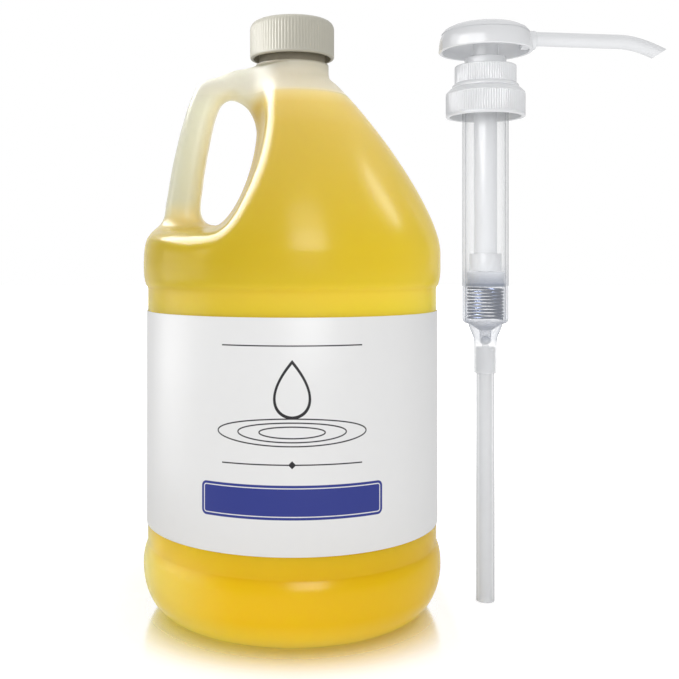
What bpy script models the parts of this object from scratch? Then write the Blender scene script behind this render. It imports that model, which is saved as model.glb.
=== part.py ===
"""A one-gallon handled jug of massage oil with its ribbed screw cap, and its hand pump standing beside it.

Metres, +Z up. The floor is z = 0, and the origin is the middle of the set's footprint.
The jug's handle points to -X, the pump stands on the +X side, and the front of the set faces -Y.
"""

import math

import bmesh
import bpy
from mathutils import Matrix, Vector

# Clearances
SEAT_GAP = 0.0003
RUNNING_GAP = 0.0003

# Jug: radii of the blow-moulded shell, each set back from or standing out from its neighbour
JUG_WALL = 0.0009
BULGE_RADIUS = 0.0772
PANEL_STEP = 0.0022
FOOT_SETBACK = 0.0152
FOOT_RING_WIDTH = 0.0070
FINISH_RADIUS = 0.0176
FINISH_WALL = 0.0018
NECK_STEP = 0.0023
NECK_FLARE = 0.0045

# Jug: heights, each measured upwards from the level below it
PUSH_UP = 0.0060
BUMPER_HEIGHT = 0.0235
BUMPER_SHOULDER = 0.0107
PANEL_HEIGHT = 0.1313
BULGE_FILLET = 0.0100
BULGE_HEIGHT = 0.0070
SHOULDER_HEIGHT = 0.0870
SHOULDER_RISE = 0.0200
SHOULDER_RUN = 0.0300
NECK_FILLET = 0.0065
NECK_HEIGHT = 0.0068
FINISH_HEIGHT = 0.0180
OIL_DROP = 0.0055

# Jug: finger recess beside the handle
RECESS_RISE = 0.0140
RECESS_SETBACK = 0.0360
RECESS_WIDTH = 0.0226
RECESS_WAIST_DROP = 0.0225
RECESS_LEAN = 0.0160
LEDGE_SLOPE = 14.0
RECESS_CURVE = 1.60
RECESS_FLARE = 0.0060
LEDGE_DROP = 0.0050
RECESS_SPREAD = 0.0580
RECESS_ROUNDING = 0.0140

# Jug: handle. The grip runs from the root up to the elbow, and the bar from there to the neck.
HANDLE_DEPTH = 0.0210
HANDLE_THICKNESS = 0.0172
HANDLE_WALL = 0.0016
HANDLE_SQUARENESS = 0.75
ROOT_INSET = 0.0186
ROOT_SWELL = 1.25
ELBOW_REACH = 0.0190
ELBOW_DROP = 0.0057
ELBOW_SWELL = 0.99
BAR_REACH = 0.0056
BAR_RISE = 0.0002
BAR_SWELL = 0.98
BAR_END_INSET = 0.0086
BAR_END_RISE = 0.0029
BAR_END_SWELL = 1.02
GRIP_SHARES = ((0.145, 0.277, 1.11), (0.382, 0.609, 1.02), (0.711, 0.892, 0.99))

# Label
LABEL_MARGIN_FOOT = 0.0113
LABEL_MARGIN_TOP = 0.0123
LABEL_THICKNESS = 0.0003
LABEL_GAP_ANGLE = math.radians(40)

# Screw cap and liner
CAP_THREAD_ROOM = 0.0026
CAP_TOP_WALL = 0.0016
CAP_SKIRT_WALL = 0.0016
CAP_EDGE = 0.0040
CAP_RIBS = 72
LINER_THICKNESS = 0.0010

# Ribs shared by the cap and the pump's two collars
RIB_HEIGHT = 0.0003
RIB_ROOT = 0.0002
RIB_MARGIN = 0.0008

# Pump: where it stands, as the clear way between the jug and the pump's barrel
PUMP_CLEARANCE = 0.0125

# Pump: dip tube and inlet valve
TUBE_RADIUS = 0.0047
TUBE_WALL = 0.0015
TUBE_FREE_LENGTH = 0.1198
SOCKET_WALL = 0.0009
SOCKET_DEPTH = 0.0135
BALL_RADIUS = 0.0024
VALVE_HOLE_RADIUS = 0.0017
SEAT_WALL = 0.0015
BALL_CLEARANCE = 0.0006
CHAMBER_HEIGHT = 0.0072
CAGE_THICKNESS = 0.0018
CAGE_SLOT = 0.0012

# Pump: barrel
BARREL_RADIUS = 0.0120
BARREL_WALL = 0.0013
FUNNEL_HEIGHT = 0.0050
BARREL_LENGTH = 0.1186
FLANGE_WIDTH = 0.0063
FLANGE_THICKNESS = 0.0016
BARREL_NECK_STEP = 0.0012
BARREL_NECK_HEIGHT = 0.0104
GASKET_THICKNESS = 0.0013

# Pump: screw closure, retainer and lock bushing
CLOSURE_PLAY = 0.0002
CLOSURE_SKIRT_WALL = 0.0018
CLOSURE_TOP_WALL = 0.0016
CLOSURE_DEPTH = 0.0134
CLOSURE_CHAMFER = 0.0026
CLOSURE_RIBS = 64
RETAINER_WALL = 0.0022
RETAINER_FOOT_STEP = 0.0013
RETAINER_FOOT_HEIGHT = 0.0020
RETAINER_TOP_WALL = 0.0016
RETAINER_RIBS = 48
LOCK_RING_WALL = 0.0045
LOCK_RING_HEIGHT = 0.0043
BUSHING_FLANGE_THICKNESS = 0.0011
BUSHING_SLEEVE_LENGTH = 0.0145

# Pump: plunger
SPRING_LENGTH = 0.0176
SPRING_PLAY = 0.0012
SPRING_WIRE_RADIUS = 0.0006
SPRING_TURNS = 9.5
SEAL_HEIGHT = 0.0076
SEAL_WAIST = 0.0010
PISTON_WALL = 0.0021
PISTON_HEIGHT = 0.0094
PISTON_FLOOR = 0.0015
SPIGOT_WALL = 0.0029
STEM_RADIUS = 0.0060
STEM_WALL = 0.0020
STEM_STEP = 0.0010
STEM_TIP_LENGTH = 0.0090

# Pump: head and spout
HEAD_RADIUS = 0.0244
HEAD_HEIGHT = 0.0148
HEAD_WALL = 0.0018
HEAD_EDGE = 0.0070
HEAD_CROWN = 0.0016
HEAD_DRAFT = 0.0006
HUB_WALL = 0.0013
HUB_DROP = 0.0028
BOSS_WALL = 0.0009
BOSS_OVERHANG = 0.0018
SPOUT_RISE = 0.0070
SPOUT_RADIUS = 0.0037
SPOUT_WALL = 0.0013
SPOUT_SEAT_DEPTH = 0.0060
SPOUT_RUN = 0.0438
SPOUT_HOOK = 0.0235
SPOUT_DROOP = 0.0015
SPOUT_DROP = 0.0088
SPOUT_CUT_ANGLE = math.radians(57)

# Facets
JUG_SEGMENTS = 36
PUMP_SEGMENTS = 24
HEAD_SEGMENTS = 32
TUBE_SEGMENTS = 16
FILLET_SHARES = (0, 0.35, 0.7, 1)
BEND_SHARES = (0, 0.25, 0.5, 0.75, 1)
SHARP_ANGLE = math.radians(35)
MERGE = 0.00001

# Radii that follow from the sizes above
PANEL_RADIUS = BULGE_RADIUS - PANEL_STEP
FOOT_RADIUS = BULGE_RADIUS - FOOT_SETBACK
NECK_RADIUS = FINISH_RADIUS + NECK_STEP
NECK_BORE_RADIUS = FINISH_RADIUS - FINISH_WALL
SHOULDER_TOP_RADIUS = NECK_RADIUS + NECK_FLARE
RECESS_CENTRE = BULGE_RADIUS - RECESS_SETBACK
CAP_BORE_RADIUS = FINISH_RADIUS + CAP_THREAD_ROOM
CAP_RADIUS = CAP_BORE_RADIUS + CAP_SKIRT_WALL + RIB_HEIGHT
PUMP_OFFSET = BULGE_RADIUS + PUMP_CLEARANCE + BARREL_RADIUS
TUBE_BORE_RADIUS = TUBE_RADIUS - TUBE_WALL
SOCKET_RADIUS = TUBE_RADIUS + SEAT_GAP + SOCKET_WALL
CHAMBER_RADIUS = BALL_RADIUS + BALL_CLEARANCE
BARREL_BORE_RADIUS = BARREL_RADIUS - BARREL_WALL
BARREL_NECK_RADIUS = BARREL_RADIUS + BARREL_NECK_STEP
FLANGE_RADIUS = BARREL_RADIUS + FLANGE_WIDTH
CLOSURE_BORE_RADIUS = FLANGE_RADIUS + CLOSURE_PLAY
CLOSURE_RADIUS = CLOSURE_BORE_RADIUS + CLOSURE_SKIRT_WALL + RIB_HEIGHT
RETAINER_RADIUS = BARREL_NECK_RADIUS + SEAT_GAP + RETAINER_WALL + RIB_HEIGHT
RETAINER_FOOT_RADIUS = RETAINER_RADIUS + RETAINER_FOOT_STEP
BUSHING_BORE_RADIUS = STEM_RADIUS + RUNNING_GAP
LOCK_RING_RADIUS = BUSHING_BORE_RADIUS + LOCK_RING_WALL
BUSHING_FLANGE_RADIUS = BARREL_NECK_RADIUS - SEAT_GAP
SPRING_RADIUS = BARREL_BORE_RADIUS - SPRING_PLAY - SPRING_WIRE_RADIUS
PISTON_RADIUS = STEM_RADIUS + SEAT_GAP + PISTON_WALL
SPIGOT_RADIUS = VALVE_HOLE_RADIUS + SPIGOT_WALL
STEM_BORE_RADIUS = STEM_RADIUS - STEM_WALL
STEM_TIP_RADIUS = STEM_RADIUS - STEM_STEP
HUB_RADIUS = STEM_TIP_RADIUS + SEAT_GAP + HUB_WALL
BOSS_RADIUS = SPOUT_RADIUS + SEAT_GAP + BOSS_WALL
BOSS_REACH = HEAD_RADIUS + BOSS_OVERHANG
SPOUT_BORE_RADIUS = SPOUT_RADIUS - SPOUT_WALL
SPOUT_STRAIGHT = BOSS_REACH + SPOUT_RUN
SPOUT_REACH = SPOUT_STRAIGHT + SPOUT_HOOK

# Levels that follow from the sizes above, upwards from the floor
PANEL_FOOT = BUMPER_HEIGHT + BUMPER_SHOULDER
PANEL_TOP = PANEL_FOOT + PANEL_HEIGHT
LABEL_FOOT = PANEL_FOOT + LABEL_MARGIN_FOOT
LABEL_TOP = PANEL_TOP - LABEL_MARGIN_TOP
BULGE_FOOT = PANEL_TOP + BULGE_FILLET
BULGE_TOP = BULGE_FOOT + BULGE_HEIGHT
SHOULDER_TOP = BULGE_TOP + SHOULDER_HEIGHT
RECESS_FLOOR = BULGE_TOP + RECESS_RISE
RECESS_WAIST = SHOULDER_TOP - RECESS_WAIST_DROP
OIL_LEVEL = SHOULDER_TOP - OIL_DROP
NECK_FOOT = SHOULDER_TOP + NECK_FILLET
NECK_TOP = NECK_FOOT + NECK_HEIGHT
RIM_HEIGHT = NECK_TOP + FINISH_HEIGHT
CAP_FOOT = NECK_TOP + SEAT_GAP
LINER_FOOT = RIM_HEIGHT + SEAT_GAP
CAP_CEILING = LINER_FOOT + LINER_THICKNESS + SEAT_GAP
CAP_TOP = CAP_CEILING + CAP_TOP_WALL

TUBE_TOP = TUBE_FREE_LENGTH + SOCKET_DEPTH - SEAT_GAP
SOCKET_CEILING = TUBE_FREE_LENGTH + SOCKET_DEPTH
INLET_SEAT = SOCKET_CEILING + SEAT_WALL
CHAMBER_TOP = INLET_SEAT + CHAMBER_HEIGHT
BORE_FLOOR = CHAMBER_TOP + FUNNEL_HEIGHT
SPRING_FOOT = BORE_FLOOR + SEAT_GAP
SEAL_FOOT = SPRING_FOOT + SPRING_LENGTH + SEAT_GAP
PISTON_FOOT = SEAL_FOOT + SEAL_HEIGHT + SEAT_GAP
PISTON_TOP = PISTON_FOOT + PISTON_HEIGHT
OUTLET_SEAT = PISTON_FOOT + PISTON_FLOOR
STEM_FOOT = OUTLET_SEAT + CHAMBER_RADIUS - VALVE_HOLE_RADIUS + SEAT_GAP
FLANGE_FOOT = BORE_FLOOR + BARREL_LENGTH
FLANGE_TOP = FLANGE_FOOT + FLANGE_THICKNESS
CLOSURE_CEILING = FLANGE_TOP + SEAT_GAP
CLOSURE_TOP = CLOSURE_CEILING + CLOSURE_TOP_WALL
CLOSURE_FOOT = CLOSURE_CEILING - CLOSURE_DEPTH
RETAINER_FOOT = CLOSURE_TOP + SEAT_GAP
BARREL_TOP = FLANGE_TOP + BARREL_NECK_HEIGHT
BUSHING_SEAT = BARREL_TOP + SEAT_GAP
BUSHING_FLANGE_TOP = BUSHING_SEAT + BUSHING_FLANGE_THICKNESS
RETAINER_CEILING = BUSHING_FLANGE_TOP + SEAT_GAP
RETAINER_TOP = RETAINER_CEILING + RETAINER_TOP_WALL
LOCK_RING_TOP = RETAINER_TOP + LOCK_RING_HEIGHT
HUB_FOOT = LOCK_RING_TOP + SEAT_GAP
HEAD_FOOT = HUB_FOOT + HUB_DROP
HEAD_TOP = HEAD_FOOT + HEAD_HEIGHT
STEM_TOP = HUB_FOOT + STEM_TIP_LENGTH
SPOUT_Z = HEAD_FOOT + SPOUT_RISE


def clear_scene():
    for old in list(bpy.data.objects):
        bpy.data.objects.remove(old, do_unlink=True)


def new_collection(name):
    collection = bpy.data.collections.new(name)
    bpy.context.scene.collection.children.link(collection)
    return collection


clear_scene()
PARTS = new_collection("pump_oil_bottle")
CUTTERS = new_collection("cutters")


def new_frame(name, x, parent=None):
    """An empty on a vertical axis at x, which carries the pieces on that axis."""
    frame = bpy.data.objects.new(name, None)
    frame.location = (x, 0, 0)
    frame.parent = parent
    PARTS.objects.link(frame)
    return frame


SET_FRAME = new_frame("set_middle", 0)
JUG_FRAME = new_frame("jug_axis", 0, SET_FRAME)
PUMP_FRAME = new_frame("pump_axis", PUMP_OFFSET, SET_FRAME)


def finish(name, colour, roughness, metallic=0.0, alpha=1.0):
    material = bpy.data.materials.new(name)
    material.use_nodes = True
    shader = material.node_tree.nodes["Principled BSDF"]
    shader.inputs["Base Color"].default_value = (*colour, 1.0)
    shader.inputs["Roughness"].default_value = roughness
    shader.inputs["Metallic"].default_value = metallic
    shader.inputs["Alpha"].default_value = alpha
    return material


NATURAL_PLASTIC = finish("natural_polyethylene", (0.86, 0.85, 0.78), 0.30, alpha=0.55)
GOLDEN_OIL = finish("golden_oil", (0.78, 0.52, 0.03), 0.10)
LABEL_FILM = finish("white_label_film", (0.88, 0.88, 0.88), 0.35)
CAP_PLASTIC = finish("ivory_cap_plastic", (0.80, 0.79, 0.74), 0.40)
LINER_FOAM = finish("white_liner_foam", (0.90, 0.90, 0.88), 0.80)
WHITE_PLASTIC = finish("white_pump_plastic", (0.88, 0.88, 0.88), 0.32)
CLEAR_PLASTIC = finish("clear_barrel_plastic", (0.90, 0.91, 0.92), 0.12, alpha=0.35)
SEAL_PLASTIC = finish("grey_seal_plastic", (0.62, 0.65, 0.70), 0.40)
SPRING_STEEL = finish("spring_steel", (0.55, 0.57, 0.60), 0.25, metallic=1.0)
BALL_GLASS = finish("valve_ball_glass", (0.80, 0.84, 0.86), 0.08)


def place(obj, material, frame):
    """Puts a finished piece in the parts, on its axis and with its material."""
    PARTS.objects.link(obj)
    obj.parent = frame
    obj.data.materials.append(material)
    return obj


def place_cutter(obj, frame):
    CUTTERS.objects.link(obj)
    obj.parent = frame
    obj.hide_render = True
    obj.display_type = "WIRE"
    return obj


def profile_mesh(name, profile, closed):
    """A chain of edges in the XZ plane through (radius, height) points."""
    shape = bmesh.new()
    corners = [shape.verts.new((radius, 0, height)) for radius, height in profile]
    for first, second in zip(corners, corners[1:]):
        shape.edges.new((first, second))
    if closed:
        shape.edges.new((corners[-1], corners[0]))
    mesh = bpy.data.meshes.new(name)
    shape.to_mesh(mesh)
    shape.free()
    return mesh


def turned(name, profile, segments, closed=False, angle=2 * math.pi):
    """A profile turned about Z. A closed profile is a ring's section, and an open one ends on the axis."""
    obj = bpy.data.objects.new(name, profile_mesh(name, profile, closed))
    screw = obj.modifiers.new("turn", "SCREW")
    screw.axis = "Z"
    screw.angle = angle
    screw.steps = screw.render_steps = segments
    screw.use_merge_vertices = True
    screw.merge_threshold = MERGE
    screw.use_smooth_shade = True
    return obj


def boolean(obj, other, operation):
    modifier = obj.modifiers.new(other.name, "BOOLEAN")
    modifier.operation = operation
    modifier.object = other
    modifier.solver = "EXACT"


def frozen(obj):
    """The object as a plain mesh object of the same name, with its modifiers applied and its seams welded."""
    holder = bpy.data.collections.new("freezing")
    bpy.context.scene.collection.children.link(holder)
    if not obj.users_collection:
        holder.objects.link(obj)
    bpy.context.view_layer.update()
    graph = bpy.context.evaluated_depsgraph_get()
    mesh = bpy.data.meshes.new_from_object(obj.evaluated_get(graph))
    shape = bmesh.new()
    shape.from_mesh(mesh)
    bmesh.ops.remove_doubles(shape, verts=shape.verts, dist=MERGE)
    bmesh.ops.recalc_face_normals(shape, faces=shape.faces)
    shape.to_mesh(mesh)
    shape.free()
    name, matrix = obj.name, obj.matrix_world.copy()
    bpy.data.objects.remove(obj, do_unlink=True)
    bpy.data.collections.remove(holder)
    solid = bpy.data.objects.new(name, mesh)
    solid.matrix_world = matrix
    mesh.name = name
    mesh.shade_smooth()
    mesh.set_sharp_from_angle(angle=SHARP_ANGLE)
    return solid


def bezier(start, start_handle, end_handle, end, shares):
    """Points on a cubic curve at the given shares of its parameter."""
    found = []
    for t in shares:
        weights = ((1 - t) ** 3, 3 * t * (1 - t) ** 2, 3 * t * t * (1 - t), t**3)
        corners = (start, start_handle, end_handle, end)
        found.append(tuple(sum(w * p[k] for w, p in zip(weights, corners)) for k in range(2)))
    return found


def arc(centre, radii, start, end, count):
    """Points on an ellipse's arc, from one angle to another in degrees, with 0 outwards and 90 upwards."""
    steps = [math.radians(start + (end - start) * i / count) for i in range(count + 1)]
    return [(centre[0] + radii[0] * math.cos(a), centre[1] + radii[1] * math.sin(a)) for a in steps]


def inset(profile, distance):
    """An open profile moved inwards by a wall, along the mean of the normals at each point."""
    moved = []
    for i, (radius, height) in enumerate(profile):
        before = profile[max(i - 1, 0)]
        after = profile[min(i + 1, len(profile) - 1)]
        run = Vector((after[0] - before[0], after[1] - before[1])).normalized()
        moved.append((max(radius + run.y * distance, 0.0), height - run.x * distance))
    return moved


# Jug

SHOULDER_SHARES = [0, 0.12, 0.26, 0.40, 0.54, 0.66]
LEDGE_SHARES = [0.74, 0.79, 0.82, 0.85, 0.88, 0.92, 1]


def jug_profile():
    """The jug's outside from the foot of its neck down to the middle of its base."""
    shoulder_slope = SHOULDER_RUN / math.sqrt(2)
    neck_fillet = bezier(
        (NECK_RADIUS, NECK_FOOT),
        (NECK_RADIUS, (NECK_FOOT + SHOULDER_TOP) / 2),
        ((NECK_RADIUS + SHOULDER_TOP_RADIUS) / 2, (NECK_FOOT + 2 * SHOULDER_TOP) / 3),
        (SHOULDER_TOP_RADIUS, SHOULDER_TOP),
        FILLET_SHARES[:-1],
    )
    shoulder = bezier(
        (SHOULDER_TOP_RADIUS, SHOULDER_TOP),
        (SHOULDER_TOP_RADIUS + shoulder_slope, SHOULDER_TOP - shoulder_slope),
        (BULGE_RADIUS, BULGE_TOP + SHOULDER_RISE),
        (BULGE_RADIUS, BULGE_TOP),
        SHOULDER_SHARES + LEDGE_SHARES,
    )
    bulge_foot = arc((PANEL_RADIUS, BULGE_FOOT), (PANEL_STEP, BULGE_FILLET), 0, -80, 3)
    panel = [(PANEL_RADIUS, PANEL_TOP - PANEL_STEP / 2), (PANEL_RADIUS, PANEL_FOOT)]
    bumper_top = arc((PANEL_RADIUS, BUMPER_HEIGHT), (PANEL_STEP, BUMPER_SHOULDER), 75, 0, 3)
    base = arc((FOOT_RADIUS, BUMPER_HEIGHT), (FOOT_SETBACK, BUMPER_HEIGHT), -15, -90, 5)
    foot_inside = FOOT_RADIUS - FOOT_RING_WIDTH
    push_up = [(foot_inside, 0), (foot_inside - PUSH_UP, PUSH_UP), (0, PUSH_UP)]
    return neck_fillet + shoulder + bulge_foot + panel + bumper_top + base + push_up


def recess_x(height, depth, wall):
    """Where the finger recess's wall stands, as x, at a height and a distance from the middle plane."""
    spread = (depth / RECESS_SPREAD) ** 2
    level = height + LEDGE_DROP * spread + wall
    if level < RECESS_FLOOR:
        reach = RECESS_CENTRE + (RECESS_FLOOR - level) * LEDGE_SLOPE
    elif level < RECESS_WAIST:
        rise = (RECESS_WAIST - level) / (RECESS_WAIST - RECESS_FLOOR)
        reach = RECESS_CENTRE - RECESS_WIDTH * (1 - rise**RECESS_CURVE) ** (1 / RECESS_CURVE)
    else:
        lean = (level - RECESS_WAIST) / (SHOULDER_TOP - RECESS_WAIST)
        reach = RECESS_CENTRE - RECESS_WIDTH + RECESS_LEAN * lean * lean
    return wall - reach + RECESS_FLARE * spread


def scoop(obj, wall):
    """Presses the finger recess, with rounded edges, into a turned shape a wall inside the jug's face."""
    shape = bmesh.new()
    shape.from_mesh(obj.data)
    for corner in shape.verts:
        x, depth, height = corner.co
        if x > 0 or height > NECK_FOOT:
            continue
        limit = recess_x(height, depth, wall)
        overlap = max(RECESS_ROUNDING - abs(x - limit), 0) / RECESS_ROUNDING
        corner.co.x = max(x, limit) + overlap * overlap * RECESS_ROUNDING / 4
    bmesh.ops.triangulate(shape, faces=shape.faces, quad_method="SHORT_EDGE")
    shape.to_mesh(obj.data)
    shape.free()
    return obj


def handle_sweep(name, depth, thickness, stations):
    """A rounded bar along the handle's line. Each station is x, height and how much the bar swells there."""
    section = bpy.data.curves.new(name + "_section", "CURVE")
    section.dimensions = "2D"
    outline = section.splines.new("BEZIER")
    outline.bezier_points.add(3)
    corners = ((-depth / 2, 0), (0, thickness / 2), (depth / 2, 0), (0, -thickness / 2))
    for point, (across, along) in zip(outline.bezier_points, corners):
        point.co = (across, along, 0)
        reach = Vector((along and depth / 2, across and thickness / 2, 0)) * HANDLE_SQUARENESS
        turn = Vector((across, along, 0)).cross(Vector((0, 0, 1))).normalized()
        point.handle_left = point.co - turn * reach.length
        point.handle_right = point.co + turn * reach.length
    outline.use_cyclic_u = True
    outline.resolution_u = 3
    section_object = bpy.data.objects.new(name + "_section", section)

    route = bpy.data.curves.new(name, "CURVE")
    route.dimensions = "3D"
    route.twist_mode = "Z_UP"
    route.bevel_mode = "OBJECT"
    route.bevel_object = section_object
    route.use_fill_caps = True
    line = route.splines.new("BEZIER")
    line.bezier_points.add(len(stations) - 1)
    for point, (x, z, swell) in zip(line.bezier_points, stations):
        point.co = (x, 0, z)
        point.radius = swell
        point.handle_left_type = point.handle_right_type = "AUTO"
    line.resolution_u = 3
    bar = bpy.data.objects.new(name, route)
    CUTTERS.objects.link(section_object)
    CUTTERS.objects.link(bar)
    solid = frozen(bar)
    bpy.data.objects.remove(section_object, do_unlink=True)
    return solid


def handle_stations():
    """Points along the handle's middle line, as x, height and swell."""
    root = Vector((ROOT_INSET - BULGE_RADIUS, BULGE_TOP))
    elbow = Vector((-SHOULDER_TOP_RADIUS - ELBOW_REACH, SHOULDER_TOP - ELBOW_DROP))
    run, rise = elbow - root
    grip = [(root.x + run * inward, root.y + rise * up, swell) for inward, up, swell in GRIP_SHARES]
    bar = (-SHOULDER_TOP_RADIUS - BAR_REACH, SHOULDER_TOP + BAR_RISE, BAR_SWELL)
    bar_end = (BAR_END_INSET - SHOULDER_TOP_RADIUS, SHOULDER_TOP + BAR_END_RISE, BAR_END_SWELL)
    return [(*root, ROOT_SWELL), *grip, (*elbow, ELBOW_SWELL), bar, bar_end]


def neck_profile():
    """The threaded finish above the jug's shoulder, from the rim's middle outwards and down."""
    finish_wall = [(FINISH_RADIUS, RIM_HEIGHT), (FINISH_RADIUS, NECK_TOP)]
    return [(0, RIM_HEIGHT), *finish_wall, (NECK_RADIUS, NECK_TOP)]


def jug_hollow(name):
    """The space inside the jug's wall, from its base up through the neck."""
    above = RIM_HEIGHT + JUG_WALL
    mouth = [(0, above), (NECK_BORE_RADIUS, above), (NECK_BORE_RADIUS, NECK_FOOT)]
    space = turned(name, mouth + inset(jug_profile(), JUG_WALL)[1:], JUG_SEGMENTS)
    return scoop(frozen(space), JUG_WALL)


def make_jug():
    jug = scoop(frozen(turned("jug", neck_profile() + jug_profile(), JUG_SEGMENTS)), 0)
    place(jug, NATURAL_PLASTIC, JUG_FRAME)
    stations = handle_stations()
    bar = handle_sweep("handle_bar", HANDLE_DEPTH, HANDLE_THICKNESS, stations)
    boolean(jug, place_cutter(bar, JUG_FRAME), "UNION")
    boolean(jug, place_cutter(jug_hollow("jug_hollow"), JUG_FRAME), "DIFFERENCE")
    core_depth = HANDLE_DEPTH - 2 * HANDLE_WALL
    core_thickness = HANDLE_THICKNESS - 2 * HANDLE_WALL
    core = handle_sweep("handle_core", core_depth, core_thickness, stations[1:])
    boolean(jug, place_cutter(core, JUG_FRAME), "DIFFERENCE")
    return jug


def make_oil():
    """The oil as it stands in the jug, just clear of the wall and level. The handle's core stays dry."""
    oil = jug_hollow("oil")
    shape = bmesh.new()
    shape.from_mesh(oil.data)
    shape.normal_update()
    for corner in shape.verts:
        corner.co -= corner.normal * SEAT_GAP
    everything = shape.verts[:] + shape.edges[:] + shape.faces[:]
    level = Vector((0, 0, OIL_LEVEL))
    cut = bmesh.ops.bisect_plane(shape, geom=everything, plane_co=level, plane_no=(0, 0, 1), clear_outer=True)
    brim = [item for item in cut["geom_cut"] if isinstance(item, bmesh.types.BMEdge)]
    bmesh.ops.edgeloop_fill(shape, edges=brim)
    print(f"oil volume {1000 * shape.calc_volume():.3f} litres")
    shape.to_mesh(oil.data)
    shape.free()
    return place(oil, GOLDEN_OIL, JUG_FRAME)


def make_label():
    """A film wrapped round the label panel, with its open seam at the back."""
    radius = PANEL_RADIUS + SEAT_GAP
    wrap = 2 * math.pi - LABEL_GAP_ANGLE
    segments = round(JUG_SEGMENTS * wrap / (2 * math.pi))
    label = turned("label", [(radius, LABEL_TOP), (radius, LABEL_FOOT)], segments, angle=wrap)
    skin = label.modifiers.new("film", "SOLIDIFY")
    skin.thickness = LABEL_THICKNESS
    skin.offset = 1
    label.rotation_euler.z = (math.pi + LABEL_GAP_ANGLE) / 2
    return place(label, LABEL_FILM, JUG_FRAME)


def rib_band(name, radius, ribs, foot, top):
    """A prism with a zigzag outline, whose crests stand at the given radius."""
    shape = bmesh.new()
    made = bmesh.ops.create_circle(shape, cap_ends=True, segments=2 * ribs, radius=radius)
    for i, corner in enumerate(made["verts"]):
        if i % 2:
            corner.co *= (radius - RIB_HEIGHT) / radius
        corner.co.z = foot
    side = bmesh.ops.extrude_face_region(shape, geom=shape.faces[:])
    raised = [item for item in side["geom"] if isinstance(item, bmesh.types.BMVert)]
    bmesh.ops.translate(shape, verts=raised, vec=(0, 0, top - foot))
    bmesh.ops.recalc_face_normals(shape, faces=shape.faces)
    mesh = bpy.data.meshes.new(name)
    shape.to_mesh(mesh)
    shape.free()
    return bpy.data.objects.new(name, mesh)


def make_cap():
    crest = CAP_RADIUS
    root = crest - RIB_HEIGHT - RIB_ROOT
    edge = arc((root - CAP_EDGE, CAP_TOP - CAP_EDGE), (CAP_EDGE, CAP_EDGE), 90, 0, 4)
    cap = turned("screw_cap", [(0, CAP_TOP)] + edge + [(root, CAP_FOOT), (0, CAP_FOOT)], JUG_SEGMENTS)
    place(cap, CAP_PLASTIC, JUG_FRAME)
    ribs = rib_band("cap_ribs", crest, CAP_RIBS, CAP_FOOT + RIB_MARGIN, CAP_TOP - CAP_EDGE)
    boolean(cap, place_cutter(ribs, JUG_FRAME), "UNION")
    inside = [(0, CAP_CEILING), (CAP_BORE_RADIUS, CAP_CEILING)]
    inside += [(CAP_BORE_RADIUS, CAP_FOOT - CAP_TOP_WALL), (0, CAP_FOOT - CAP_TOP_WALL)]
    hollow = turned("cap_hollow", inside, JUG_SEGMENTS)
    boolean(cap, place_cutter(hollow, JUG_FRAME), "DIFFERENCE")
    return cap


def make_liner():
    radius = CAP_BORE_RADIUS - SEAT_GAP
    disc = [(0, LINER_FOOT + LINER_THICKNESS), (radius, LINER_FOOT + LINER_THICKNESS)]
    disc += [(radius, LINER_FOOT), (0, LINER_FOOT)]
    return place(turned("cap_liner", disc, JUG_SEGMENTS), LINER_FOAM, JUG_FRAME)


# Pump

def valve_seat(level):
    """The bore of a ball's seat: a hole that opens upwards in a cone to the ball's chamber."""
    return [(CHAMBER_RADIUS, level + CHAMBER_RADIUS - VALVE_HOLE_RADIUS), (VALVE_HOLE_RADIUS, level)]


def ball_rest(level):
    """The height of a ball's centre when it rests in a 45 degree seat, just clear of it."""
    return level - VALVE_HOLE_RADIUS + (BALL_RADIUS + SEAT_GAP) * math.sqrt(2)


def make_ball(name, level):
    shape = bmesh.new()
    rings = TUBE_SEGMENTS // 2
    bmesh.ops.create_uvsphere(shape, u_segments=TUBE_SEGMENTS, v_segments=rings, radius=BALL_RADIUS)
    mesh = bpy.data.meshes.new(name)
    shape.to_mesh(mesh)
    shape.free()
    mesh.shade_smooth()
    ball = bpy.data.objects.new(name, mesh)
    ball.location.z = ball_rest(level)
    return place(ball, BALL_GLASS, PUMP_FRAME)


def make_dip_tube():
    section = [(TUBE_RADIUS, TUBE_TOP), (TUBE_RADIUS, 0)]
    section += [(TUBE_BORE_RADIUS, 0), (TUBE_BORE_RADIUS, TUBE_TOP)]
    return place(turned("dip_tube", section, PUMP_SEGMENTS, closed=True), CLEAR_PLASTIC, PUMP_FRAME)


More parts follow.
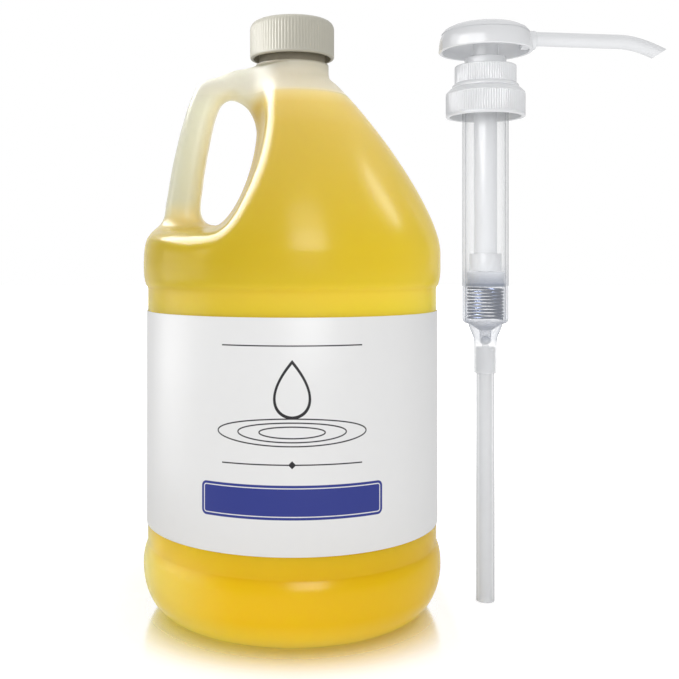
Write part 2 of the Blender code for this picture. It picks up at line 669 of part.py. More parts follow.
def make_barrel():
    """The pump's cylinder: flange and neck above, then the bore, funnel, inlet seat and tube socket."""
    corner = BARREL_RADIUS - BARREL_BORE_RADIUS
    shoulder = BORE_FLOOR - corner
    outside = [
        (BARREL_NECK_RADIUS, BARREL_TOP),
        (BARREL_NECK_RADIUS, FLANGE_TOP),
        (FLANGE_RADIUS, FLANGE_TOP),
        (FLANGE_RADIUS, FLANGE_FOOT),
        (BARREL_RADIUS, FLANGE_FOOT),
        (BARREL_RADIUS, BORE_FLOOR + corner),
    ]
    outside += arc((BARREL_RADIUS - 2 * corner, BORE_FLOOR + corner), (2 * corner, 2 * corner), -30, -90, 2)
    throat = (SOCKET_RADIUS, SOCKET_CEILING + SEAT_WALL)
    outside += bezier(
        ((BARREL_RADIUS + SOCKET_RADIUS) / 2, shoulder),
        ((BARREL_RADIUS + 2 * SOCKET_RADIUS) / 3, (shoulder + throat[1]) / 2),
        (SOCKET_RADIUS, (shoulder + throat[1]) / 2),
        throat,
        FILLET_SHARES,
    )
    socket_bore = TUBE_RADIUS + SEAT_GAP
    outside += [(SOCKET_RADIUS, TUBE_FREE_LENGTH), (socket_bore, TUBE_FREE_LENGTH)]
    outside += [(socket_bore, SOCKET_CEILING)]
    inside = [(VALVE_HOLE_RADIUS, SOCKET_CEILING)] + valve_seat(INLET_SEAT)[::-1]
    inside += [(CHAMBER_RADIUS, CHAMBER_TOP), (BARREL_BORE_RADIUS, BORE_FLOOR)]
    inside += [(BARREL_BORE_RADIUS, BARREL_TOP)]
    return place(turned("barrel", outside + inside, PUMP_SEGMENTS, closed=True), CLEAR_PLASTIC, PUMP_FRAME)


def make_ball_cage():
    """A slotted ring on the funnel's floor that keeps the inlet ball in its chamber."""
    slope = (BARREL_BORE_RADIUS - CHAMBER_RADIUS) / FUNNEL_HEIGHT
    foot = CHAMBER_TOP + SEAT_GAP
    top = foot + CAGE_THICKNESS
    eye = BALL_RADIUS - BALL_CLEARANCE
    rim = CHAMBER_RADIUS + CAGE_THICKNESS * slope
    section = [(rim, top), (CHAMBER_RADIUS, foot), (eye, foot), (eye, top)]
    cage = place(turned("ball_cage", section, PUMP_SEGMENTS, closed=True), WHITE_PLASTIC, PUMP_FRAME)
    shape = bmesh.new()
    made = bmesh.ops.create_cube(shape, size=1)
    length = 4 * BARREL_BORE_RADIUS
    bmesh.ops.scale(shape, verts=made["verts"], vec=(length, CAGE_SLOT, CAGE_THICKNESS))
    bmesh.ops.translate(shape, verts=made["verts"], vec=(0, 0, top))
    mesh = bpy.data.meshes.new("cage_slot")
    shape.to_mesh(mesh)
    shape.free()
    boolean(cage, place_cutter(bpy.data.objects.new("cage_slot", mesh), PUMP_FRAME), "DIFFERENCE")
    return cage


def make_gasket():
    top = FLANGE_FOOT - SEAT_GAP
    inner = BARREL_RADIUS + SEAT_GAP
    section = [(FLANGE_RADIUS, top), (FLANGE_RADIUS, top - GASKET_THICKNESS)]
    section += [(inner, top - GASKET_THICKNESS), (inner, top)]
    return place(turned("neck_gasket", section, PUMP_SEGMENTS, closed=True), LINER_FOAM, PUMP_FRAME)


def make_closure():
    """The pump's screw collar. It spins on the barrel's neck and holds the flange down on a bottle's rim."""
    root = CLOSURE_RADIUS - RIB_HEIGHT - RIB_ROOT
    blank = [(0, CLOSURE_TOP), (root - CLOSURE_CHAMFER, CLOSURE_TOP), (root, CLOSURE_TOP - CLOSURE_CHAMFER)]
    blank += [(root, CLOSURE_FOOT), (0, CLOSURE_FOOT)]
    closure = place(turned("pump_closure", blank, HEAD_SEGMENTS), WHITE_PLASTIC, PUMP_FRAME)
    rib_foot = CLOSURE_FOOT + RIB_MARGIN
    ribs = rib_band("closure_ribs", CLOSURE_RADIUS, CLOSURE_RIBS, rib_foot, CLOSURE_TOP - CLOSURE_CHAMFER)
    boolean(closure, place_cutter(ribs, PUMP_FRAME), "UNION")
    eye = BARREL_NECK_RADIUS + RUNNING_GAP
    below = CLOSURE_FOOT - CLOSURE_TOP_WALL
    above = CLOSURE_TOP + CLOSURE_TOP_WALL
    hollow = [(0, above), (eye, above), (eye, CLOSURE_CEILING)]
    hollow += [(CLOSURE_BORE_RADIUS, CLOSURE_CEILING), (CLOSURE_BORE_RADIUS, below), (0, below)]
    cutter = place_cutter(turned("closure_hollow", hollow, HEAD_SEGMENTS), PUMP_FRAME)
    boolean(closure, cutter, "DIFFERENCE")
    return closure


def make_retainer():
    """The ribbed nut on the barrel's neck: it traps the closure below it and the bushing under its top."""
    root = RETAINER_RADIUS - RIB_HEIGHT - RIB_ROOT
    foot_top = RETAINER_FOOT + RETAINER_FOOT_HEIGHT
    blank = [(0, RETAINER_TOP), (root, RETAINER_TOP), (root, foot_top + RIB_ROOT)]
    blank += [(RETAINER_FOOT_RADIUS, foot_top - RETAINER_FOOT_HEIGHT / 2)]
    blank += [(RETAINER_FOOT_RADIUS, RETAINER_FOOT), (0, RETAINER_FOOT)]
    retainer = place(turned("retainer_nut", blank, HEAD_SEGMENTS), WHITE_PLASTIC, PUMP_FRAME)
    ribs = rib_band("retainer_ribs", RETAINER_RADIUS, RETAINER_RIBS, foot_top, RETAINER_TOP - RIB_MARGIN)
    boolean(retainer, place_cutter(ribs, PUMP_FRAME), "UNION")
    bore = BARREL_NECK_RADIUS + SEAT_GAP
    eye = LOCK_RING_RADIUS + SEAT_GAP
    above = RETAINER_TOP + RETAINER_TOP_WALL
    hollow = [(0, above), (eye, above), (eye, RETAINER_CEILING), (bore, RETAINER_CEILING)]
    hollow += [(bore, RETAINER_FOOT - RETAINER_TOP_WALL), (0, RETAINER_FOOT - RETAINER_TOP_WALL)]
    cutter = place_cutter(turned("retainer_hollow", hollow, HEAD_SEGMENTS), PUMP_FRAME)
    boolean(retainer, cutter, "DIFFERENCE")
    return retainer


def make_bushing():
    """The stem's guide: a lock ring on top, a flange on the barrel's end and a sleeve down the bore."""
    sleeve = BARREL_BORE_RADIUS - SEAT_GAP
    foot = BUSHING_SEAT - BUSHING_SLEEVE_LENGTH
    section = [
        (LOCK_RING_RADIUS, LOCK_RING_TOP),
        (LOCK_RING_RADIUS, BUSHING_FLANGE_TOP),
        (BUSHING_FLANGE_RADIUS, BUSHING_FLANGE_TOP),
        (BUSHING_FLANGE_RADIUS, BUSHING_SEAT),
        (sleeve, BUSHING_SEAT),
        (sleeve, foot),
        (BUSHING_BORE_RADIUS, foot),
        (BUSHING_BORE_RADIUS, LOCK_RING_TOP),
    ]
    print(f"plunger stroke {1000 * (foot - PISTON_TOP - SEAT_GAP):.2f} mm")
    return place(turned("lock_bushing", section, PUMP_SEGMENTS, closed=True), WHITE_PLASTIC, PUMP_FRAME)


def make_seal():
    """A double-lipped cup that slides in the bore."""
    lip = BARREL_BORE_RADIUS - RUNNING_GAP
    eye = SPIGOT_RADIUS + RUNNING_GAP
    top = SEAL_FOOT + SEAL_HEIGHT
    middle = SEAL_FOOT + SEAL_HEIGHT / 2
    section = [(lip, top), (lip - SEAL_WAIST, middle + SEAL_WAIST), (lip - SEAL_WAIST, middle - SEAL_WAIST)]
    section += [(lip, SEAL_FOOT), (eye, SEAL_FOOT), (eye, top)]
    return place(turned("piston_seal", section, PUMP_SEGMENTS, closed=True), SEAL_PLASTIC, PUMP_FRAME)


def make_piston():
    """The stem's foot: a socket for the stem, the outlet seat and a spigot through the seal."""
    socket = STEM_RADIUS + SEAT_GAP
    cone_top, hole = valve_seat(OUTLET_SEAT)
    section = [
        (PISTON_RADIUS, PISTON_TOP),
        (PISTON_RADIUS, PISTON_FOOT),
        (SPIGOT_RADIUS, PISTON_FOOT),
        (SPIGOT_RADIUS, SEAL_FOOT + SEAT_GAP),
        (VALVE_HOLE_RADIUS, SEAL_FOOT + SEAT_GAP),
        hole,
        cone_top,
        (socket, cone_top[1]),
        (socket, PISTON_TOP),
    ]
    return place(turned("piston", section, PUMP_SEGMENTS, closed=True), WHITE_PLASTIC, PUMP_FRAME)


def make_stem():
    section = [
        (STEM_TIP_RADIUS, STEM_TOP),
        (STEM_TIP_RADIUS, HUB_FOOT - SEAT_GAP),
        (STEM_RADIUS, HUB_FOOT - SEAT_GAP),
        (STEM_RADIUS, STEM_FOOT),
        (STEM_BORE_RADIUS, STEM_FOOT),
        (STEM_BORE_RADIUS, STEM_TOP),
    ]
    return place(turned("stem", section, PUMP_SEGMENTS, closed=True), WHITE_PLASTIC, PUMP_FRAME)


def make_spring():
    """The return spring, pressed almost solid while the plunger is down. Its least gap is printed."""
    points_per_turn = 10
    rise = SPRING_LENGTH - 2 * SPRING_WIRE_RADIUS
    count = round(SPRING_TURNS * points_per_turn)
    wire = bpy.data.curves.new("return_spring", "CURVE")
    wire.dimensions = "3D"
    wire.bevel_depth = SPRING_WIRE_RADIUS
    wire.bevel_resolution = 1
    wire.use_fill_caps = True
    coil = wire.splines.new("POLY")
    coil.points.add(count)
    line = []
    for i, point in enumerate(coil.points):
        turn = 2 * math.pi * SPRING_TURNS * i / count
        height = SPRING_FOOT + SPRING_WIRE_RADIUS + rise * i / count
        line.append(Vector((SPRING_RADIUS * math.cos(turn), SPRING_RADIUS * math.sin(turn), height)))
        point.co = (*line[-1], 1)
    apart = points_per_turn // 2
    nearest = min((a - b).length for i, a in enumerate(line) for b in line[i + apart :])
    print(f"return spring: least gap between turns {1000 * (nearest - 2 * SPRING_WIRE_RADIUS):.2f} mm")
    return place(bpy.data.objects.new("return_spring", wire), SPRING_STEEL, PUMP_FRAME)


def rod(name, radius, start, end):
    """A cylinder between two points, as a cutter or a blank."""
    shape = bmesh.new()
    span = Vector(end) - Vector(start)
    made = bmesh.ops.create_cone(
        shape, cap_ends=True, segments=TUBE_SEGMENTS, radius1=radius, radius2=radius, depth=span.length
    )
    turn = span.to_track_quat("Z", "Y").to_matrix().to_4x4()
    middle = Matrix.Translation((Vector(start) + Vector(end)) / 2)
    bmesh.ops.transform(shape, matrix=middle @ turn, verts=made["verts"])
    mesh = bpy.data.meshes.new(name)
    shape.to_mesh(mesh)
    shape.free()
    return bpy.data.objects.new(name, mesh)


def make_head():
    """The palm-wide actuator: a domed shell with a hub for the stem and a boss that leads to the spout."""
    side = HEAD_RADIUS - HEAD_DRAFT
    shoulder = HEAD_TOP - HEAD_CROWN - HEAD_EDGE
    crown = [(0, HEAD_TOP), ((side - HEAD_EDGE) / 2, HEAD_TOP - HEAD_CROWN / 4)]
    edge = arc((side - HEAD_EDGE, shoulder), (HEAD_EDGE, HEAD_EDGE), 90, 0, 5)
    ceiling = HEAD_TOP - HEAD_CROWN - HEAD_WALL
    inner = side - HEAD_WALL
    bay = [(HEAD_RADIUS, HEAD_FOOT), (HEAD_RADIUS - HEAD_WALL, HEAD_FOOT), (inner, ceiling - HEAD_EDGE / 2)]
    bay += [(inner - HEAD_EDGE / 2, ceiling), (HUB_RADIUS, ceiling), (HUB_RADIUS, HUB_FOOT), (0, HUB_FOOT)]
    head = place(turned("pump_head", crown + edge + bay, HEAD_SEGMENTS), WHITE_PLASTIC, PUMP_FRAME)

    boss = rod("spout_boss", BOSS_RADIUS, (0, 0, SPOUT_Z), (BOSS_REACH, 0, SPOUT_Z))
    boolean(head, place_cutter(boss, PUMP_FRAME), "UNION")
    well = STEM_TIP_RADIUS + SEAT_GAP
    stem_well = rod("stem_well", well, (0, 0, HUB_FOOT - HUB_DROP), (0, 0, STEM_TOP + SEAT_GAP))
    boolean(head, place_cutter(stem_well, PUMP_FRAME), "DIFFERENCE")
    seat_foot = (BOSS_REACH - SPOUT_SEAT_DEPTH, 0, SPOUT_Z)
    seat_mouth = (BOSS_REACH + SPOUT_SEAT_DEPTH, 0, SPOUT_Z)
    seat = rod("spout_seat", SPOUT_RADIUS + SEAT_GAP, seat_foot, seat_mouth)
    boolean(head, place_cutter(seat, PUMP_FRAME), "DIFFERENCE")
    channel = rod("oil_channel", SPOUT_BORE_RADIUS, (0, 0, SPOUT_Z), (BOSS_REACH, 0, SPOUT_Z))
    boolean(head, place_cutter(channel, PUMP_FRAME), "DIFFERENCE")
    return head


def spout_line(past):
    """The spout's middle line: straight out of the boss with a slight droop, then bending down to the tip."""
    root = BOSS_REACH - SPOUT_SEAT_DEPTH + SEAT_GAP
    knee = Vector((SPOUT_STRAIGHT, 0, SPOUT_Z - SPOUT_DROOP))
    tip = Vector((SPOUT_REACH, 0, SPOUT_Z - SPOUT_DROP))
    fall = (tip - knee).normalized()
    slope = (knee - Vector((root, 0, SPOUT_Z))).normalized()
    bend = (tip - knee).length / 3
    curve = [knee, knee + slope * bend, tip - fall * bend + Vector((0, 0, SPOUT_DROOP)), tip]
    points = [Vector((root - past, 0, SPOUT_Z)), Vector((BOSS_REACH, 0, SPOUT_Z))]
    for t in BEND_SHARES:
        weights = ((1 - t) ** 3, 3 * t * (1 - t) ** 2, 3 * t * t * (1 - t), t**3)
        points.append(sum((w * p for w, p in zip(weights, curve)), Vector()))
    heading = (points[-1] - points[-2]).normalized()
    return points + [points[-1] + heading * (2 * SPOUT_RADIUS + past)]


def spout_tube(name, radius, past):
    tube = bpy.data.curves.new(name, "CURVE")
    tube.dimensions = "3D"
    tube.bevel_depth = radius
    tube.bevel_resolution = 4
    tube.use_fill_caps = True
    stations = spout_line(past)
    line = tube.splines.new("POLY")
    line.points.add(len(stations) - 1)
    for point, station in zip(line.points, stations):
        point.co = (*station, 1)
    obj = bpy.data.objects.new(name, tube)
    CUTTERS.objects.link(obj)
    return frozen(obj)


def make_spout():
    """The delivery spout: a bored tube pushed into the head's boss, with a slanting cut at its tip."""
    spout = place(spout_tube("spout", SPOUT_RADIUS, 0), WHITE_PLASTIC, PUMP_FRAME)
    bore = spout_tube("spout_bore", SPOUT_BORE_RADIUS, SPOUT_RADIUS)
    boolean(spout, place_cutter(bore, PUMP_FRAME), "DIFFERENCE")
    cut = Vector((math.cos(SPOUT_CUT_ANGLE), 0, -math.sin(SPOUT_CUT_ANGLE)))
    tip = Vector((SPOUT_REACH, 0, SPOUT_Z - SPOUT_DROP)) - cut * SPOUT_RADIUS * math.cos(SPOUT_CUT_ANGLE)
    trim = rod("spout_trim", 4 * SPOUT_RADIUS, tip, tip + cut * 6 * SPOUT_RADIUS)
    boolean(spout, place_cutter(trim, PUMP_FRAME), "DIFFERENCE")
    return spout


def centre_footprint():
    """Moves the set along X until the origin is the middle of its footprint."""
    bpy.context.view_layer.update()
    graph = bpy.context.evaluated_depsgraph_get()
    sides = []
    for obj in PARTS.objects:
        if obj.type != "EMPTY":
            shown = obj.evaluated_get(graph)
            sides += [(obj.matrix_world @ corner.co).x for corner in shown.to_mesh().vertices]
            shown.to_mesh_clear()
    SET_FRAME.location.x = -(min(sides) + max(sides)) / 2
    print(f"jug axis at x = {1000 * SET_FRAME.location.x:.3f} mm")


make_jug()
make_oil()
make_label()
make_cap()
make_liner()
make_dip_tube()
make_barrel()
make_ball("inlet_ball", INLET_SEAT)
make_ball_cage()
make_gasket()
make_closure()
make_retainer()
make_bushing()
make_spring()
make_seal()
make_piston()
make_ball("outlet_ball", OUTLET_SEAT)
make_stem()
make_head()
make_spout()
centre_footprint()
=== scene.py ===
"""Looks for a gallon jug of massage oil with its cap and label, and the hand pump that stands beside it.

Metres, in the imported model's frame: +Z up, the floor at z = 0, and the front of the set faces -Y.
"""

import math

import bmesh
import bpy
from mathutils import Matrix, Vector
from mathutils.bvhtree import BVHTree
from mathutils.kdtree import KDTree
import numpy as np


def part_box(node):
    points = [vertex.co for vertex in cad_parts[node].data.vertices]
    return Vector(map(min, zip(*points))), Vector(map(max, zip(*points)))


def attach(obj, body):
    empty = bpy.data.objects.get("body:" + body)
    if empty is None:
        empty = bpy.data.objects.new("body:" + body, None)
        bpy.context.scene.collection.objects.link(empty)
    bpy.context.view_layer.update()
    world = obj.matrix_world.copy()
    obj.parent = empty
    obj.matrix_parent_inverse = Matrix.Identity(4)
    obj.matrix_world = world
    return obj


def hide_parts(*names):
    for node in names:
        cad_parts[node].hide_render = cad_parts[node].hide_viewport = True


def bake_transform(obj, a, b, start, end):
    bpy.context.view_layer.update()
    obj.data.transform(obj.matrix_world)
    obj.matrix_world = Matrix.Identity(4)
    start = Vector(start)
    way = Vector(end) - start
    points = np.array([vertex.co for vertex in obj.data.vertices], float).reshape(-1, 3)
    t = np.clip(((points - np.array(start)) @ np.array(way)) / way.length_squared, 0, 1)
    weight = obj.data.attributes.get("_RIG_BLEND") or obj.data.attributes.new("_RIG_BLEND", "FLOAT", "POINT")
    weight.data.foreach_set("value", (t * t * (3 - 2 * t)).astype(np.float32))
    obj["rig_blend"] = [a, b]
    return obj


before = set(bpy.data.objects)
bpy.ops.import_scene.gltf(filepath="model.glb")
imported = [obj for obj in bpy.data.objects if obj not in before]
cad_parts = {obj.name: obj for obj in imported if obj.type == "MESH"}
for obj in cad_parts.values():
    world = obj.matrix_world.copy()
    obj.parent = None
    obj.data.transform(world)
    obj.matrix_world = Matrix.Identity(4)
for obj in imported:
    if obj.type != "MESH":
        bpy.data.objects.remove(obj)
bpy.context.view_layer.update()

# The two upright axes that everything is turned on
JUG_X = sum(corner.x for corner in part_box("screw_cap")) / 2
PUMP_X = sum(corner.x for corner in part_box("retainer_nut")) / 2

WELD = 0.000004
SHARP_ANGLE = math.radians(40)
CREASE_ANGLE = math.radians(25)
JUG_STEPS = 240
PUMP_STEPS = 96

# Jug: radii and heights of its moulded form
WALL = 0.0009
BULGE_RADIUS = 0.0772
PANEL_RADIUS = 0.0750
FOOT_RADIUS = 0.0620
FOOT_INSIDE = 0.0550
SHOULDER_TOP_RADIUS = 0.0244
NECK_RADIUS = 0.0192
FINISH_RADIUS = 0.0172
BORE_RADIUS = 0.0158
PUSH_UP = 0.0060
BUMPER_HEIGHT = 0.0235
PANEL_FOOT = 0.0342
PANEL_TOP = 0.1655
BULGE_FOOT = 0.1755
BULGE_TOP = 0.1825
SHOULDER_CURVE = ((0.0456, 0.2483), (BULGE_RADIUS, 0.2025))
SHOULDER_TOP = 0.2695
NECK_FOOT = 0.2768
NECK_TOP = 0.2811
RIM = 0.3008
OIL_LEVEL = 0.2640
SEAM = 0.1790

# Jug: the finger recess beside the handle
RECESS_FLOOR = 0.1965
RECESS_WAIST = 0.2470
RECESS_CENTRE = 0.0412
RECESS_WIDTH = 0.0226
RECESS_CURVE = 1.6
RECESS_FLARE = 0.0049
RECESS_SPINE = 0.0320
RECESS_SPREAD = 0.0580
RECESS_ROUNDING = (0.0155, 110)
LEDGE_SLOPE = 14.0
LEDGE_DROP = 0.0050
LEDGE_TOP = 0.203

# Jug: heights at which the recess and the handle change, and how far up each change goes on
SPINE_NARROWS = (0.255, 0.020)
FLARE_GROWS = (0.205, 0.027)
RECESS_CLOSES = (0.2705, 0.0060)
GRIP_ENDS = (0.215, 0.030)
BAR_STARTS = (0.2665, 0.0090)

# Jug: the handle, as pairs of points on its outer and inner outline
# Each point is the x from the jug's axis and the height, in millimetres
HANDLE_PAIRS = (
    ((-66.6, 189.6), (-48.4, 189.6)),
    ((-66.6, 200.1), (-48.4, 199.1)),
    ((-66.3, 206.4), (-48.4, 204.8)),
    ((-65.2, 212.7), (-48.1, 210.1)),
    ((-64.2, 219.0), (-47.3, 215.9)),
    ((-63.1, 225.3), (-46.6, 221.9)),
    ((-61.8, 231.7), (-45.6, 228.0)),
    ((-60.3, 238.0), (-44.6, 233.8)),
    ((-58.8, 244.3), (-43.4, 240.1)),
    ((-57.0, 250.6), (-42.2, 246.1)),
    ((-55.1, 256.9), (-40.7, 252.4)),
    ((-52.8, 263.2), (-38.7, 258.0)),
    ((-51.3, 266.4), (-37.6, 260.1)),
    ((-50.1, 269.0), (-36.9, 260.9)),
    ((-48.2, 271.3), (-36.0, 261.8)),
    ((-45.0, 272.9), (-34.8, 262.7)),
    ((-41.1, 274.0), (-33.2, 263.4)),
    ((-37.9, 275.0), (-31.8, 263.7)),
    ((-34.8, 276.5), (-30.0, 263.7)),
    ((-31.6, 278.2), (-28.5, 263.6)),
    ((-28.5, 279.1), (-26.6, 263.4)),
    ((-25.3, 279.5), (-24.2, 263.0)),
    ((-20.0, 279.6), (-20.0, 262.4)),
    ((-13.0, 279.6), (-13.0, 262.0)),
)
HANDLE_DEPTH = 0.0210
HANDLE_SQUARENESS = 2.9
HANDLE_ROUNDS = (0.62, 0.20)
HANDLE_BLENDS = (0.0110, 0.0190, 0.0060)
HANDLE_ROUNDING = (0.0090, 24)
VOXEL = 0.0010

# Jug: heights between which the tone of its plastic changes, and between which its painted light and shade
# change
HANDLE_ROOT = (0.193, 0.212)
HANDLE_ARCH = (0.256, 0.270)
RECESS_OIL_LINE = (0.2565, 0.2685)
# The oil's painted side light swaps sides between these heights, and its painted foot glow fades out between
# the next ones
PAINTED_SIDE_LIGHT = (0.03, 0.17)
FOOT_GLOW = (0.050, 0.025)
# The neck's painted shade near the cap, and the painted shade of the cap over the neck
NECK_PAINTED_SHADE = (0.2755, 0.2795)
CAP_SHADE = ((0.2796, 0.2812), (0.2870, 0.2850))
DULL_ABOVE_OIL = (0.2635, 0.2670)

# Label film
LABEL_FOOT = 0.0455
LABEL_TOP = 0.1532
LABEL_INSIDE = 0.0753
LABEL_OUTSIDE = 0.0756
LABEL_GAP = math.radians(40)

# Pump: the rounds on its moulded edges, the spout, and the heights between which its clear foot turns hazy
# and painted grey, and where its socket turns pale again
EDGE = 0.0003
FINE_EDGE = 0.0002
BOSS_END = 0.0262
SPOUT_RADIUS = 0.0037
SPOUT_BORE = 0.0024
SPOUT_LEVEL = 0.2953
SPOUT_KNEE = Vector((0.0700, 0, SPOUT_LEVEL - 0.0015))
SPOUT_TIP = Vector((0.0935, 0, SPOUT_LEVEL - 0.0088))
SPOUT_SLANT = math.radians(57)
CYLINDER_HAZE_AND_SHADE = (0.1800, 0.1640)
FUNNEL_HAZE = (0.1490, 0.1440)
SOCKET_CLEARS = (0.1385, 0.1345)


# Shapes


def eased(value, start, span):
    """0 up to a start and 1 past a span from it, with soft ends."""
    t = min(max((value - start) / span, 0), 1)
    return t * t * (3 - 2 * t)


def arc(centre, radii, start, end, count):
    """Points on an ellipse's arc between two angles in degrees, with 0 outwards and 90 upwards."""
    steps = [math.radians(start + (end - start) * i / count) for i in range(count + 1)]
    return [(centre[0] + radii[0] * math.cos(a), centre[1] + radii[1] * math.sin(a)) for a in steps]


def curve(start, start_handle, end_handle, end, count):
    """Points along a cubic curve, both ends included."""
    found = []
    for i in range(count + 1):
        t = i / count
        weights = ((1 - t) ** 3, 3 * t * (1 - t) ** 2, 3 * t * t * (1 - t), t**3)
        corners = (start, start_handle, end_handle, end)
        found.append(tuple(sum(w * p[k] for w, p in zip(weights, corners)) for k in range(2)))
    return found


def outline(points, closed=False):
    """A chain of edges in the XZ plane through (radius, height) points. A third number rounds a corner."""
    shape = bmesh.new()
    corners = [shape.verts.new((point[0], 0, point[1])) for point in points]
    for pair in zip(corners, corners[1:] + corners[:1] if closed else corners[1:]):
        shape.edges.new(pair)
    fillets = {}
    for corner, point in zip(corners, points):
        if len(point) > 2:
            fillets.setdefault(point[2], []).append(corner)
    for size, rounded in fillets.items():
        bmesh.ops.bevel(
            shape,
            geom=rounded,
            offset=size,
            offset_type="OFFSET",
            affect="VERTICES",
            segments=2 if size < 0.0005 else 5,
            profile=0.5,
            clamp_overlap=False,
            material=-1,
        )
    return shape


def face_outwards(shape):
    bmesh.ops.recalc_face_normals(shape, faces=shape.faces)
    return shape


def turn(shape, steps, angle=2 * math.pi, rise=0.0):
    """Turns a profile about the Z axis, as it rises, and closes its seam and poles."""
    bmesh.ops.spin(
        shape,
        geom=shape.verts[:] + shape.edges[:],
        cent=(0, 0, 0),
        axis=(0, 0, 1),
        dvec=(0, 0, rise / steps),
        angle=angle,
        steps=steps,
        use_merge=angle == 2 * math.pi,
    )
    bmesh.ops.remove_doubles(shape, verts=shape.verts, dist=WELD)
    return face_outwards(shape)


def press_ribs(shape, count, depth, radius, foot, top):
    """Waves the outside of a turned wall in and out between two heights, so that upright ribs stand on it."""
    for corner in shape.verts:
        x, y, z = corner.co
        across = math.hypot(x, y)
        if across < radius - depth or not foot <= z <= top:
            continue
        wave = 0.5 - 0.5 * math.cos(count * math.atan2(y, x))
        corner.co.xy *= 1 - depth * wave**1.5 / across


def open_edges(shape, test):
    """The edges with one face only, where their first corner's place passes a test."""
    return [edge for edge in shape.edges if len(edge.link_faces) == 1 and test(edge.verts[0].co)]


def close_ends(shape):
    """Fills a shape's open ends and turns its faces outwards."""
    bmesh.ops.holes_fill(shape, edges=shape.edges, sides=0)
    return face_outwards(shape)


def cut_away(shape, place, heading):
    """Cuts a shape at a place and takes off what lies beyond it on a heading."""
    everything = shape.verts[:] + shape.edges[:] + shape.faces[:]
    bmesh.ops.bisect_plane(
        shape, geom=everything, dist=1e-7, plane_co=place, plane_no=heading, clear_outer=True
    )


def round_edges(shape, edges, size, segments):
    bmesh.ops.bevel(
        shape, geom=edges, offset=size, segments=segments, profile=0.5, affect="EDGES", material=-1
    )


def add_shape(shape, other):
    """Copies one bmesh into another."""
    mesh = bpy.data.meshes.new("joining")
    other.to_mesh(mesh)
    shape.from_mesh(mesh)
    bpy.data.meshes.remove(mesh)
    other.free()
    return shape


def as_object(name, shape):
    """Makes a bmesh an object of the scene."""
    mesh = bpy.data.meshes.new(name)
    shape.to_mesh(mesh)
    shape.free()
    made = bpy.data.objects.new(name, mesh)
    bpy.context.scene.collection.objects.link(made)
    return made


def finished(name, shape, axis, finish, body, slot, *nodes):
    """Puts a shape on its axis as a piece that rides on a body and stands for the CAD nodes named."""
    bmesh.ops.translate(shape, verts=shape.verts, vec=(axis, 0, 0))
    piece = as_object(name, shape)
    piece.data.shade_smooth()
    piece.data.set_sharp_from_angle(angle=SHARP_ANGLE)
    piece.data.materials.append(finish)
    if body:
        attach(piece, body)
    if nodes:
        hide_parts(*nodes)
    return piece


def sweep(rings, count, place):
    """An open tube of rings, where place(i, angle) gives the point of ring i at an angle."""
    shape = bmesh.new()
    ring = bmesh.ops.create_circle(shape, segments=count, radius=1)["verts"]
    angles = [math.atan2(corner.co.y, corner.co.x) for corner in ring]
    edges = list({edge for corner in ring for edge in corner.link_edges})
    for i in range(rings):
        if i:
            made = bmesh.ops.extrude_edge_only(shape, edges=edges)["geom"]
            edges = [item for item in made if isinstance(item, bmesh.types.BMEdge)]
            edges = [edge for edge in edges if len(edge.link_faces) == 1]
            fresh = [item for item in made if isinstance(item, bmesh.types.BMVert)]
            previous = {tuple(round(c, 9) for c in place(i - 1, a)): a for a in angles}
            angle_of = {}
            for corner in fresh:
                nearest = min(previous, key=lambda point: (Vector(point) - corner.co).length)
                angle_of[corner] = previous[nearest]
        else:
            angle_of = dict(zip(ring, angles))
        for corner, angle in angle_of.items():
            corner.co = place(i, angle)
    return shape


# Materials


def operator(operation, reflected=False):
    """A method for one of Python's operators that adds a Math node."""

    def method(socket, other):
        return socket.math(operation, *((other, socket) if reflected else (socket, other)))

    return method


class Socket:
    """An output of a node. Python's operators on it add Math nodes."""

    def __init__(self, nodes, output):
        self.nodes = nodes
        self.output = output

    def also(self, name):
        """Another output of the same node."""
        return Socket(self.nodes, self.output.node.outputs[name])

    def math(self, operation, *values):
        return self.nodes.add("Math", {"operation": operation}, dict(enumerate(values)))

    def __abs__(self):
        return self.math("ABSOLUTE", self)

    __add__, __radd__ = operator("ADD"), operator("ADD", reflected=True)
    __sub__, __rsub__ = operator("SUBTRACT"), operator("SUBTRACT", reflected=True)
    __mul__, __rmul__ = operator("MULTIPLY"), operator("MULTIPLY", reflected=True)
    __truediv__, __rtruediv__ = operator("DIVIDE"), operator("DIVIDE", reflected=True)
    __pow__, __rpow__ = operator("POWER"), operator("POWER", reflected=True)
    larger, smaller = operator("MAXIMUM"), operator("MINIMUM")


